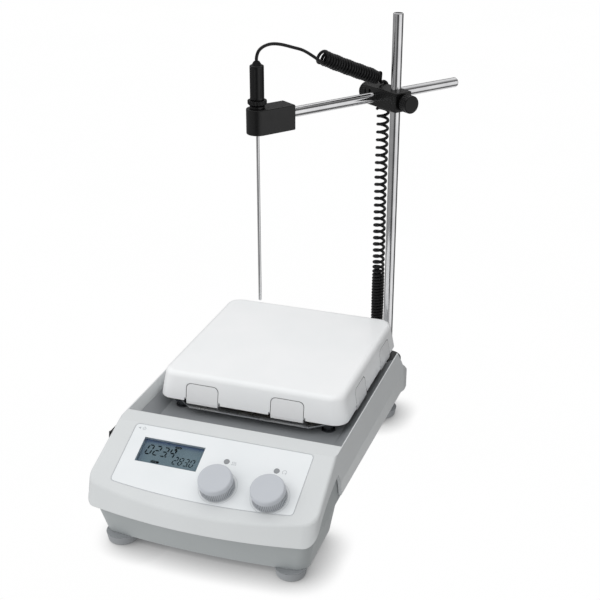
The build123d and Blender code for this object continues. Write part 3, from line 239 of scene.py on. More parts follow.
def clear_pane():
    """Clear window: lets sight and light through and mirrors at a slant, faintly scratched."""
    s = Shader("clear_window")
    through = s.add("BsdfTransparent")
    through.inputs["Color"].default_value = (0.93, 0.96, 0.97, 1)
    slant = s.add("Fresnel")
    slant.inputs["IOR"].default_value = 1.14
    scratch = s.span(s.noise((0.08, 12.0, 12.0), 2.0, 0.6), 0.55, 0.75, 0.04, 0.16)
    s.set(Base_Color=(1, 1, 1), Metallic=1.0, Roughness=scratch)
    join = s.add("MixShader")
    s.plug(join.inputs[0], slant.outputs[0])
    s.plug(join.inputs[1], through.outputs[0])
    s.plug(join.inputs[2], s.base.outputs[0])
    s.tree.links.new(join.outputs[0], s.end.inputs["Surface"])
    return s.material


def display_glass(across, up, middle):
    """Grey reflective display with painted bluish shade of its recess towards its upper and left edges,
    and fine rows.
    """
    upper_shade, upper_edge = 8.5, 13.0
    left_shade, left_edge = -22.0, -31.0
    row_waves = 28.0
    s = Shader("display_glass")
    place = s.vector("SUBTRACT", s.point, tuple(middle / MM))
    rise = s.vector("DOT_PRODUCT", place, tuple(up))
    run = s.vector("DOT_PRODUCT", place, tuple(across))
    grey = s.mix(s.span(s.noise(14.0), 0.3, 0.7), rgb(116, 130, 138), rgb(125, 139, 146))
    # Painted shade: the window's recess shades the display's upper and left edges, drawn as darker blue.
    recess_shade_hue = s.mix(s.span(rise, upper_shade, upper_edge), grey, rgb(84, 100, 132))
    recess_shade_hue = s.mix(s.span(run, left_shade, left_edge, 0.0, 0.45), recess_shade_hue, rgb(88, 104, 134))
    rows = s.math("SINE", s.math("MULTIPLY", rise, row_waves))
    s.set(
        Base_Color=recess_shade_hue, Roughness=s.span(s.noise(4.0), 0.3, 0.7, 0.3, 0.42), Specular_IOR_Level=0.1,
        Normal=s.bump(rows, 0.004),
    )
    return s.material


def printed_film(outer, inner):
    """Polyester overlay: faint velvet texture and a slightly greyer printed background."""
    s = Shader("overlay_film")
    cloud = s.span(s.noise(45.0, 3.0), 0.3, 0.7)
    speck = s.noise(0.22, 2.0)
    hue = s.mix(cloud, outer, inner)
    hue = s.mix(s.span(speck, 0.6, 0.75, 0.0, 0.06), hue, rgb(205, 210, 214))
    normal, near = s.edges(0.15)
    s.set(
        Base_Color=s.mix(s.math("MULTIPLY", near, 0.35), hue, rgb(200, 204, 208)),
        Roughness=s.span(s.noise(6.0), 0.3, 0.7, 0.36, 0.46),
        Normal=s.bump(speck, 0.006, normal),
    )
    return s.material


def enamel():
    """Fired white enamel: even gloss over a barely wavy coat, thinner on its edges, with painted shade in
    narrow gaps.
    """
    s = Shader("white_enamel")
    wave = s.noise(24.0, 2.0)
    hue = s.mix(s.span(s.noise(60.0, 2.0), 0.3, 0.7), rgb(244, 246, 247), rgb(248, 249, 250))
    normal, near = s.edges(0.5)
    thin = s.math("MULTIPLY", near, s.span(s.noise(2.5), 0.5, 0.7, 0.0, 0.2))
    hue = s.mix(thin, hue, rgb(212, 213, 215))
    # Painted shade: narrow gaps, such as those round the clips, darkened to dark grey.
    hue = s.mix(s.math("MULTIPLY", s.gap_shade_mask(), 0.85), hue, rgb(70, 72, 74))
    s.set(
        Base_Color=hue, Roughness=s.span(s.noise(30.0, 3.0), 0.3, 0.7, 0.3, 0.36),
        Coat_Weight=0.2, Coat_Roughness=0.12, Normal=s.bump(wave, 0.01, normal),
    )
    return s.material


def circuit_board(name, resist):
    """Printed board: solder resist with copper tracks under it and tinned pads."""
    s = Shader(name)
    tracks = s.add("TexBrick", offset=0.5)
    s.plug(tracks.inputs["Vector"], s.point)
    s.plug(tracks.inputs["Scale"], 0.28)
    s.plug(tracks.inputs["Mortar Size"], 0.035)
    pads = s.add("TexVoronoi", feature="F1")
    s.plug(pads.inputs["Vector"], s.point)
    s.plug(pads.inputs["Scale"], 0.22)
    pad = s.span(pads.outputs["Distance"], 0.17, 0.14)
    line = s.math("SUBTRACT", 1.0, tracks.outputs["Fac"])
    hue = s.mix(line, scaled(resist, 1.7), resist)
    hue = s.mix(pad, hue, rgb(196, 196, 190))
    s.set(
        Base_Color=hue, Metallic=s.math("MULTIPLY", pad, 0.9),
        Roughness=s.span(s.noise(5.0), 0.3, 0.7, 0.28, 0.4), Normal=s.bump(line, 0.03),
    )
    return s.material


def wound(name, colour, dark, pitch, metal=1.0, axis=2):
    """Windings or stacked sheets: fine bands square to an axis."""
    s = Shader(name)
    part = s.add("SeparateXYZ")
    s.plug(part.inputs[0], s.point)
    turns = s.math("SINE", s.math("MULTIPLY", part.outputs[axis], 2 * math.pi / pitch))
    hue = s.mix(s.span(turns, -1.0, 0.2), dark, colour)
    hue = s.mix(s.span(s.noise(5.0), 0.35, 0.75, 0.0, 0.4), hue, scaled(colour, 0.7))
    s.set(
        Base_Color=hue, Metallic=metal, Roughness=s.span(s.noise(3.0), 0.3, 0.7, 0.28, 0.44),
        Normal=s.bump(turns, pitch * 0.2),
    )
    return s.material


def fibre():
    """Mineral wool: matted pale fibres."""
    s = Shader("mineral_wool")
    mat = s.noise((0.25, 2.6, 0.5), 4.0, 0.5)
    cross = s.noise((2.4, 0.25, 0.5), 4.0, 0.9)
    lumps = s.noise(4.0, 3.0)
    height = s.math("ADD", s.math("MULTIPLY", mat, cross), lumps)
    hue = s.mix(s.span(height, 0.5, 1.0), rgb(176, 164, 138), rgb(233, 226, 208))
    s.set(
        Base_Color=hue, Roughness=s.span(lumps, 0.3, 0.7, 0.88, 0.98), Sheen_Weight=0.25,
        Normal=s.bump(height, 0.5),
    )
    return s.material


def cord():
    """Black polyurethane cord: satin, with faint drawing lines and dull patches."""
    s = Shader("cord_sheath")
    patch = s.noise(11.0, 3.0)
    fine = s.noise(0.35, 3.0)
    hue = s.mix(s.span(patch, 0.3, 0.7), rgb(12, 12, 13), rgb(22, 22, 24))
    hue = s.mix(s.span(fine, 0.62, 0.8, 0.0, 0.3), hue, rgb(38, 38, 40))
    s.set(
        Base_Color=hue, Roughness=s.span(patch, 0.3, 0.7, 0.34, 0.44), Specular_IOR_Level=0.35,
        Normal=s.bump(fine, 0.012),
    )
    return s.material


def print_ink(name, colour, shine=0.5):
    """Screen-printed ink with slightly uneven cover."""
    s = Shader(name)
    cover = s.noise(0.4, 3.0)
    s.set(
        Base_Color=s.mix(s.span(cover, 0.35, 0.7), scaled(colour, 0.92), scaled(colour, 1.12)),
        Roughness=s.span(s.noise(2.0), 0.3, 0.7, 0.42, 0.56), Normal=s.bump(cover, 0.004),
        Specular_IOR_Level=shine,
    )
    return s.material


def steel_rod(name, size, turn=0.0):
    """Ground and polished stainless bar, with hairlines along it and faint handling marks."""
    s = Shader(name)
    hair = s.noise(size, 3.0, turn)
    smear = s.noise(16.0, 4.0)
    hue = s.mix(s.span(smear, 0.3, 0.7), rgb(216, 216, 218), rgb(232, 232, 233))
    normal, near = s.edges(0.3)
    s.set(
        Base_Color=hue, Metallic=1.0, Normal=s.bump(hair, 0.0005, normal),
        Roughness=s.math("ADD", s.span(smear, 0.35, 0.75, 0.09, 0.14), s.span(hair, 0.4, 0.8, 0, 0.04)),
    )
    return s.material


def sheet_metal():
    """Bright rolled sheet for the tray under the plate, with rolling lines and heat tint."""
    s = Shader("bright_sheet")
    lines = s.noise((14.0, 0.3, 0.3), 3.0)
    heat = s.span(s.noise(30.0, 3.0), 0.45, 0.8, 0.0, 0.3)
    hue = s.mix(s.span(lines, 0.3, 0.7), rgb(206, 208, 210), rgb(226, 227, 229))
    hue = s.mix(heat, hue, rgb(192, 184, 166))
    normal, near = s.edges(0.3)
    s.set(
        Base_Color=hue, Metallic=1.0, Normal=s.bump(lines, 0.01, normal),
        Roughness=s.span(s.noise(8.0), 0.3, 0.7, 0.24, 0.36),
    )
    return s.material


# ------------------------------------------------- the part's own directions

def middle(node):
    """Centre of a CAD node's box."""
    low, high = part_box(node)
    return (Vector(low) + Vector(high)) / 2


def panel_axes():
    """Across, up the slope and out of the front panel, from the display window's top face."""
    faces = [face for face in NODES["lcd_window"].data.polygons if face.normal.z > 0.5]
    out = max(faces, key=lambda face: face.area).normal.copy()
    across = Vector((1, 0, 0))
    return across, out.cross(across).normalized(), out.normalized()


ACROSS, UP_PANEL, OUT = panel_axes()
SLANT = Matrix((ACROSS, UP_PANEL, OUT)).transposed()


def top_of(node, direction):
    """How far a node's mesh reaches in a direction, in metres."""
    return max(direction.dot(vertex.co) for vertex in NODES[node].data.vertices)


FILM = top_of("panel_overlay", OUT)


def on_film(point, lift=0.0):
    """Point straight above or below the overlay's surface, raised off it by some millimetres."""
    return point + OUT * (FILM + lift * MM - OUT.dot(point))


# -------------------------------------------------------------- mesh making

def new_piece(name, mesh, material, body, smooth=False):
    """Object from a bmesh, coloured and riding on a body."""
    data = bpy.data.meshes.new(name)
    mesh.to_mesh(data)
    mesh.free()
    data.polygons.foreach_set("use_smooth", [smooth] * len(data.polygons))
    piece = bpy.data.objects.new(name, data)
    bpy.context.scene.collection.objects.link(piece)
    data.materials.append(material)
    if body:
        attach(piece, body)
    return piece


def raised_shapes(name, outlines, origin, material, thick=PRINT_THICK):
    """Thin raised shapes on the panel; outlines are in millimetres across and up from an origin."""
    mesh = bmesh.new()
    for outline in outlines:
        low = [mesh.verts.new(origin + SLANT @ Vector((u * MM, v * MM, 0))) for u, v in outline]
        high = [mesh.verts.new(vertex.co + OUT * thick * MM) for vertex in low]
        mesh.faces.new(high)
        mesh.faces.new(low[::-1])
        for i in range(len(low)):
            j = (i + 1) % len(low)
            mesh.faces.new((low[i], low[j], high[j], high[i]))
    return new_piece(name, mesh, material, "base")


def ribbon(name, inner, outer, material):
    """Closed flat line between two matching loops of points on the panel."""
    mesh = bmesh.new()
    rings = []
    for loop, lift in ((inner, 0), (outer, 0), (outer, PRINT_THICK), (inner, PRINT_THICK)):
        rings.append([mesh.verts.new(point + OUT * lift * MM) for point in loop])
    count = len(inner)
    for a, b in zip(rings, rings[1:] + rings[:1]):
        for i in range(count):
            j = (i + 1) % count
            mesh.faces.new((a[i], a[j], b[j], b[i]))
    bmesh.ops.recalc_face_normals(mesh, faces=mesh.faces)
    return new_piece(name, mesh, material, "base")


def eased(points, steps=8):
    """Smooth curve through points, as a dense list."""
    ends = [points[0] * 2 - points[1], *points, points[-1] * 2 - points[-2]]
    curve = []
    for a, b, c, d in zip(ends, ends[1:], ends[2:], ends[3:]):
        for i in range(steps):
            t = i / steps
            curve.append(
                0.5 * (2 * b + (c - a) * t + (2 * a - 5 * b + 4 * c - d) * t * t
                       + (3 * b - a - 3 * c + d) * t ** 3)
            )
    curve.append(points[-1].copy())
    return curve


def carried_frames(line):
    """A side direction at each point of a line, carried along it without twisting."""
    ahead = (line[1] - line[0]).normalized()
    side = ahead.orthogonal().normalized()
    frames = []
    for i, point in enumerate(line):
        after = line[min(i + 1, len(line) - 1)]
        before = line[max(i - 1, 0)]
        new_ahead = (after - before).normalized()
        side = ahead.rotation_difference(new_ahead) @ side
        side = (side - new_ahead * side.dot(new_ahead)).normalized()
        ahead = new_ahead
        frames.append((point, side, ahead.cross(side)))
    return frames


def round_cord(mesh, line, radius, sides=12):
    """Adds a round cord along a line to a mesh, with softly closed ends."""
    frames = carried_frames(line)
    rings = []
    for point, side, over in frames:
        ring = []
        for k in range(sides):
            angle = 2 * math.pi * k / sides
            ring.append(mesh.verts.new(point + (side * math.cos(angle) + over * math.sin(angle)) * radius))
        rings.append(ring)
    for a, b in zip(rings, rings[1:]):
        for k in range(sides):
            j = (k + 1) % sides
            mesh.faces.new((a[k], a[j], b[j], b[k]))
    for ring, inward in ((rings[0], 1), (rings[-1], -1)):
        tip = mesh.verts.new(sum((v.co for v in ring), Vector()) / sides)
        for k in range(sides):
            pair = (ring[(k + 1) % sides], ring[k]) if inward == 1 else (ring[k], ring[(k + 1) % sides])
            mesh.faces.new((*pair, tip))


def cord_piece(name, line, radius, material, body=None, sides=12):
    """Round cord as an object of its own."""
    mesh = bmesh.new()
    round_cord(mesh, line, radius, sides)
    bmesh.ops.recalc_face_normals(mesh, faces=mesh.faces)
    return new_piece(name, mesh, material, body, smooth=True)


def wound_line(line, radius, pitch, first_angle, steps=22):
    """Helix round a centre line; pitch and radius are functions of the share of its length."""
    frames = carried_frames(line)
    lengths = [0.0]
    for a, b in zip(line, line[1:]):
        lengths.append(lengths[-1] + (b - a).length)
    total = lengths[-1]
    curve = []
    angle = first_angle
    travelled = 0.0
    index = 0
    while travelled < total:
        while index < len(lengths) - 2 and lengths[index + 1] < travelled:
            index += 1
        t = (travelled - lengths[index]) / max(lengths[index + 1] - lengths[index], 1e-9)
        (p0, s0, o0), (p1, s1, o1) = frames[index], frames[index + 1]
        point = p0.lerp(p1, t)
        side = s0.lerp(s1, t).normalized()
        over = o0.lerp(o1, t).normalized()
        share = travelled / total
        reach = radius(share)
        curve.append(point + (side * math.cos(angle) + over * math.sin(angle)) * reach)
        angle += 2 * math.pi / steps
        travelled += pitch(share) / steps
    return curve


# ------------------------------------------------------------ cords and coils

ROD = middle("support_rod")
ARM = middle("arm_rod")
ALONG = Vector(JOINTS["arm_reach"]["axis"]).normalized()
ASIDE = Vector((0, 0, 1)).cross(ALONG)
ARM_OFFSET = (ARM - ROD).dot(ASIDE)
WIRE = 1.5 * MM
SHEATH = cord()


def by_arm(along, aside, up):
    """Point near the arm, in millimetres from where the arm passes the upright rod."""
    foot = Vector((ROD.x, ROD.y, ARM.z)) + ASIDE * ARM_OFFSET
    return foot + (ALONG * along + ASIDE * aside + Vector((0, 0, up))) * MM


def hanging_helix():
    """Coil beside the rod: close turns at its foot, stretched by its weight above."""
    closed, opened = 0.27, 0.36
    closed_pitch, opened_pitch, top_stretch = 3.35, 6.75, 1.7
    count = 60
    low, high = (Vector(corner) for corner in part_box("hanging_coil"))
    axis = (low + high) / 2
    reach = (high.x - low.x) / 2 - WIRE
    height = high.z - low.z - 2 * WIRE
    line = []
    for i in range(count + 1):
        share = i / count
        sway = 0.5 * MM * math.sin(7.3 * share) * share
        line.append(Vector((axis.x + sway, axis.y - sway * 0.6, low.z + WIRE + height * share)))

    def pitch(share):
        """Length of one turn at a share of the coil's height."""
        if share < closed:
            return closed_pitch * MM
        if share < opened:
            eased_share = (share - closed) / (opened - closed)
            return (closed_pitch + eased_share * (opened_pitch - closed_pitch)) * MM
        return (opened_pitch + top_stretch * (share - opened) / (1 - opened)) * MM

    def radius(share):
        """Distance of the cord from the coil's axis."""
        return reach * (1 - 0.02 * math.sin(23 * share))

    return wound_line(line, radius, pitch, first_angle=0.4)


def upper_helix():
    """Close coil sloping down to the clamp, its first turns pulled open."""
    pulled, pulled_pitch, closed_pitch = 0.1, 7.0, 3.4
    coil_radius, taper_start, taper = 6.0, 0.85, 0.9
    points = [
        by_arm(-76, 0, 48.4), by_arm(-60, 0, 41), by_arm(-40, 0, 32.3), by_arm(-20, 0, 23.9),
        by_arm(-7, 0, 18.5),
    ]
    line = eased(points, 16)

    def pitch(share):
        """Length of one turn at a share of the coil's length."""
        if share < pulled:
            return (pulled_pitch - share / pulled * (pulled_pitch - closed_pitch)) * MM
        return (closed_pitch + 0.25 * math.sin(19 * share)) * MM

    def radius(share):
        """Distance of the cord from the coil's axis."""
        narrowed = taper * max(0.0, share - taper_start) / (1 - taper_start)
        return (coil_radius + 0.18 * math.sin(31 * share) - narrowed) * MM

    return wound_line(line, radius, pitch, first_angle=2.2)


def build_cords():
    """All of the probe's cord, from its grip to the plug in the rear wall."""
    hanging = hanging_helix()
    upper = upper_helix()
    grip_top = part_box("probe_handle")[1][2]
    rise = (grip_top - ARM.z) / MM
    tip = (middle("probe_handle") - by_arm(0, 0, 0)).dot(ALONG) / MM
    entry = upper[0]
    onward = (upper[1] - upper[0]).normalized()
    lead = eased([
        by_arm(tip, 0, rise - 1.5), by_arm(tip, 0, rise + 3.5), by_arm(tip + 2.5, 0, rise + 9),
        by_arm(tip + 8, 0, rise + 12.3), by_arm(tip + 16, 0, rise + 13.5), by_arm(tip + 26, 0, rise + 12),
        by_arm(tip + 40, 0, rise + 7.5), by_arm(tip + 54, 0, rise + 2),
        entry - onward * 5 * MM, entry + onward * 0.6 * MM,
    ], 10)
    piece = cord_piece("probe_lead_cord", lead, WIRE, SHEATH)
    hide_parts("probe_lead")
    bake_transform(piece)

    piece = cord_piece("upper_coil_cord", upper, WIRE, SHEATH, sides=10)
    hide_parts("upper_coil")
    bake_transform(piece)

    ahead = (upper[-1] - upper[-2]).normalized()
    down = (hanging[-1] - hanging[-2]).normalized()
    link = eased([
        upper[-1] - ahead * 0.5 * MM, upper[-1] + ahead * 2 * MM, by_arm(0, 4, 12.8),
        by_arm(6.5, 7, 12), by_arm(11.8, 8.5, 8.5), by_arm(13.8, 9, 1), by_arm(13.8, 8.5, -6),
        hanging[-1] + down * 3.5 * MM, hanging[-1] - down * 0.5 * MM,
    ], 10)
    piece = cord_piece("cable_link_cord", link, WIRE, SHEATH, "boss_head")
    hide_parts("cable_link")

    piece = cord_piece("hanging_coil_cord", hanging, WIRE, SHEATH, sides=10)
    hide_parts("hanging_coil")
    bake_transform(piece)

    plug_low, plug_high = (Vector(corner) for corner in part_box("sensor_plug"))
    plug = (plug_low + plug_high) / 2
    behind = Vector((plug.x, plug_high.y, plug.z))
    start = hanging[0]
    back = (hanging[0] - hanging[1]).normalized()
    tail = eased([
        start - back * 0.5 * MM, start + back * 4 * MM, start + Vector((-5, 6, -7)) * MM,
        Vector((start.x - 12 * MM, behind.y - 2 * MM, start.z - 20 * MM)),
        behind + Vector((4, 9, 24)) * MM, behind + Vector((2, 12, 8)) * MM,
        behind + Vector((0, 6, 0.6)) * MM, behind + Vector((0, -1, 0)) * MM,
    ], 10)
    piece = cord_piece("cable_tail_cord", tail, WIRE, SHEATH)
    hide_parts("cable_tail")
    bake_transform(piece)


# ------------------------------------------------------- display and overlay

SEGMENTS = {
    "a": ((0.06, 1), (0.94, 1)), "b": ((1, 0.96), (1, 0.54)), "c": ((1, 0.46), (1, 0.04)),
    "d": ((0.06, 0), (0.94, 0)), "e": ((0, 0.46), (0, 0.04)), "f": ((0, 0.96), (0, 0.54)),
    "g": ((0.08, 0.5), (0.92, 0.5)),
}
LIT = {"0": "abcdef", "2": "abged", "3": "abgcd", "4": "fgbc", "8": "abcdefg"}


def bar(start, end, width):
    """Segment with pointed ends between two points."""
    (x0, y0), (x1, y1) = start, end
    length = math.hypot(x1 - x0, y1 - y0)
    ux, uy = (x1 - x0) / length, (y1 - y0) / length
    half = width / 2
    nx, ny = -uy * half, ux * half
    return [
        (x0, y0), (x0 + ux * half + nx, y0 + uy * half + ny), (x1 - ux * half + nx, y1 - uy * half + ny),
        (x1, y1), (x1 - ux * half - nx, y1 - uy * half - ny), (x0 + ux * half - nx, y0 + uy * half - ny),
    ]


def digits(text, left, low, width, height, pitch, stroke, lean=0.2):
    """Outlines of a row of leaning seven-segment digits; a point follows its digit."""
    shapes = []
    x = left
    for sign in text:
        if sign == ".":
            shapes.append(disc(x - (pitch - width) * 0.5 - lean, low, stroke * 0.6, 10))
            continue
        for name in LIT[sign]:
            (u0, v0), (u1, v1) = SEGMENTS[name]
            start = (x + u0 * width + v0 * height * lean, low + v0 * height)
            end = (x + u1 * width + v1 * height * lean, low + v1 * height)
            shapes.append(bar(start, end, stroke))
        x += pitch
    return shapes


def disc(x, y, radius, sides=20):
    """Outline of a round dot."""
    turns = [2 * math.pi * i / sides for i in range(sides)]
    return [(x + radius * math.cos(a), y + radius * math.sin(a)) for a in turns]


def soft_box(x0, y0, x1, y1, corner):
    """Outline of a rectangle with cut corners."""
    return [
        (x0 + corner, y0), (x1 - corner, y0), (x1, y0 + corner), (x1, y1 - corner),
        (x1 - corner, y1), (x0 + corner, y1), (x0, y1 - corner), (x0, y0 + corner),
    ]


def stroke_line(points, width=PRINT_LINE):
    """Outlines of short straight strokes through points."""
    shapes = []
    for (x0, y0), (x1, y1) in zip(points, points[1:]):
        length = math.hypot(x1 - x0, y1 - y0) or 1.0
        ux, uy = (x1 - x0) / length * width / 2, (y1 - y0) / length * width / 2
        shapes.append([
            (x0 - ux - uy, y0 - uy + ux), (x1 + ux - uy, y1 + uy + ux),
            (x1 + ux + uy, y1 + uy - ux), (x0 - ux + uy, y0 - uy - ux),
        ])
    return shapes


def arc_points(x, y, radius, start, end, count=16):
    """Points on an arc, angles in degrees."""
    turns = [math.radians(start + (end - start) * i / count) for i in range(count + 1)]
    return [(x + radius * math.cos(a), y + radius * math.sin(a)) for a in turns]


def build_display():
    """Dark figures and small icons on the display glass, which lies below the window's face."""
    window_depth = 3.5
    window = middle("lcd_window")
    glass_top = top_of("lcd_window", OUT) - window_depth * MM
    origin = window + OUT * (glass_top + 0.02 * MM - OUT.dot(window))
    ink = print_ink("display_ink", rgb(12, 15, 18), shine=0.05)
    shapes = digits("023.4", left=-25.4, low=-1.6, width=4.6, height=9.6, pitch=7.4, stroke=1.3)
    shapes += digits("283.0", left=3.2, low=-7.2, width=3.2, height=7.4, pitch=5.3, stroke=0.95)
    shapes += [soft_box(0.4, 9.0, 6.6, 11.2, 0.4), disc(1.9, 7.4, 1.35)]
    shapes += [soft_box(-16.6, -9.8, -8.4, -7.4, 0.8)]
    raised_shapes("display_figures", shapes, origin, ink)
    pale = print_ink("display_gaps", rgb(98, 112, 119))
    gaps = stroke_line([(1.2, 9.7), (2.0, 10.6), (2.9, 9.7)])
    gaps += stroke_line([(3.6, 10.5), (4.6, 10.5)])
    gaps += stroke_line([(3.6, 9.8), (5.6, 9.8)])
    gaps += stroke_line([(-15.4, -8.6), (-12.6, -8.6)], 0.35)
    gaps += stroke_line([(-11.6, -9.1), (-11.6, -8.1)], 0.35)
    raised_shapes("display_icon_gaps", gaps, origin + OUT * PRINT_THICK * MM, pale, thick=0.02)


def film_outline():
    """Outer edge of the overlay's top face, as ordered points."""
    mesh = NODES["panel_overlay"].data
    used = set()
    for face in mesh.polygons:
        if face.normal.dot(OUT) < 0.999 or abs(OUT.dot(face.center) - FILM) > 0.05 * MM:
            continue
        corners = [tuple(round(c * 1e6) for c in mesh.vertices[v].co) for v in face.vertices]
        used.update(zip(corners, corners[1:] + corners[:1]))
    after = {a: b for a, b in used if (b, a) not in used}
    loops = []
    while after:
        start, point = after.popitem()
        loop = [start]
        while point != start and point in after:
            loop.append(point)
            point = after.pop(point)
        loops.append([Vector(p) * 1e-6 for p in loop])
    return max(loops, key=lambda loop: max(p.x for p in loop) - min(p.x for p in loop))


def inset_loop(loop, distance):
    """Loop on the panel moved inwards by some millimetres."""
    heart = sum(loop, Vector()) / len(loop)
    moved = []
    for i, point in enumerate(loop):
        tangent = (loop[(i + 1) % len(loop)] - loop[i - 1]).normalized()
        inward = OUT.cross(tangent)
        if inward.dot(heart - point) < 0:
            inward = -inward
        moved.append(point + inward * distance * MM)
    return moved


def spread_loop(loop, step):
    """Loop with points added so that none are further apart than a step."""
    spread = []
    for i, point in enumerate(loop):
        after = loop[(i + 1) % len(loop)]
        parts = max(1, int((after - point).length / (step * MM)))
        spread += [point.lerp(after, k / parts) for k in range(parts)]
    return spread


def build_overlay_marks():
    """Printed lines and small signs on the overlay."""
    grey = print_ink("grey_ink", rgb(168, 172, 176))
    faint = print_ink("faint_ink", rgb(196, 200, 203))
    edge = [on_film(point, PRINT_LIFT) for point in spread_loop(film_outline(), 1.5)]
    ribbon("overlay_outline", inset_loop(edge, 0.15), inset_loop(edge, 0.5), grey)
    for name in ("temperature", "speed"):
        knob_ring(name, faint)
    lamp_signs(grey)
    power_sign(grey)


def knob_ring(name, ink):
    """Fine printed circle round a knob."""
    inner, outer = 17.1, 17.4
    count = 96
    hub = on_film(middle(name + "_knob"), PRINT_LIFT)
    turns = [2 * math.pi * i / count for i in range(count)]
    rings = []
    for reach in (inner, outer):
        rings.append([hub + (ACROSS * math.cos(a) + UP_PANEL * math.sin(a)) * reach * MM for a in turns])
    ribbon(name + "_knob_ring", rings[0], rings[1], ink)


def lamp_signs(ink):
    """Rising heat beside the left lamp and a round arrow beside the right one."""
    lens_radius = 2.6
    low, high = (Vector(corner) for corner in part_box("indicator_lenses"))
    lamp_mid = on_film((low + high) / 2, PRINT_LIFT)
    half = (high.x - low.x) / 2 / MM - lens_radius
    heat = []
    for k in range(3):
        x = -half + 5.6 + 1.5 * k
        heat += stroke_line([(x, -1.5), (x + 0.5, -0.75), (x - 0.5, 0.25), (x, 1.0)])
    heat += stroke_line([(-half + 4.9, -2.1), (-half + 9.3, -2.1)])
    stir = stroke_line(arc_points(half + 7.2, 0, 1.9, -30, 250))
    stir += stroke_line([(half + 8.5, -2.2), (half + 8.85, -0.95), (half + 7.6, -0.75)])
    raised_shapes("heat_and_stir_signs", heat + stir, lamp_mid, ink)


def power_sign(ink):
    """Power mark near the overlay's upper left corner, with an arrowhead towards the switch."""
    corner = on_film(middle("panel_overlay"), PRINT_LIFT)
    left = (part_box("panel_overlay")[0][0] - corner.x) / MM
    top = (top_of("panel_overlay", UP_PANEL) - UP_PANEL.dot(corner)) / MM
    x, y = left + 9.5, top - 4.6
    power = stroke_line(arc_points(x, y, 1.35, 120, 420))
    power += stroke_line([(x, y), (x, y + 1.9)])
    power += [[(left + 3.4, y), (left + 6.2, y + 1.2), (left + 5.4, y), (left + 6.2, y - 1.2)]]
    raised_shapes("power_sign", power, corner, ink)


# ----------------------------------------------------------- soft insulation

def build_blanket():
    """Insulation under the heater, as a matted blanket with rounded, uneven edges."""
    pad = NODES["insulation_pad"].data.copy()
    blanket = bpy.data.objects.new("insulation_blanket", pad)
    bpy.context.scene.collection.objects.link(blanket)
    remesh = blanket.modifiers.new("remesh", "REMESH")
    remesh.mode = "VOXEL"
    remesh.voxel_size = 1.6 * MM
    smooth = blanket.modifiers.new("smooth", "SMOOTH")
    smooth.iterations = 4
    bpy.context.view_layer.update()
    depsgraph = bpy.context.evaluated_depsgraph_get()
    shaped = bpy.data.meshes.new_from_object(blanket.evaluated_get(depsgraph))
    blanket.modifiers.clear()
    for vertex in shaped.vertices:
        x, y, z = (c / MM for c in vertex.co)
        lump = math.sin(x * 0.9 + math.sin(y * 0.7)) * math.sin(y * 1.1 + math.sin(x * 0.6))
        vertex.co -= vertex.normal * (0.12 + 0.1 * lump) * MM
    blanket.data = shaped
    shaped.materials.clear()
    shaped.materials.append(fibre())
    shaped.polygons.foreach_set("use_smooth", [True] * len(shaped.polygons))
    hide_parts("insulation_pad")
    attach(blanket, "base")


# -------------------------------------------------------- materials of the CAD

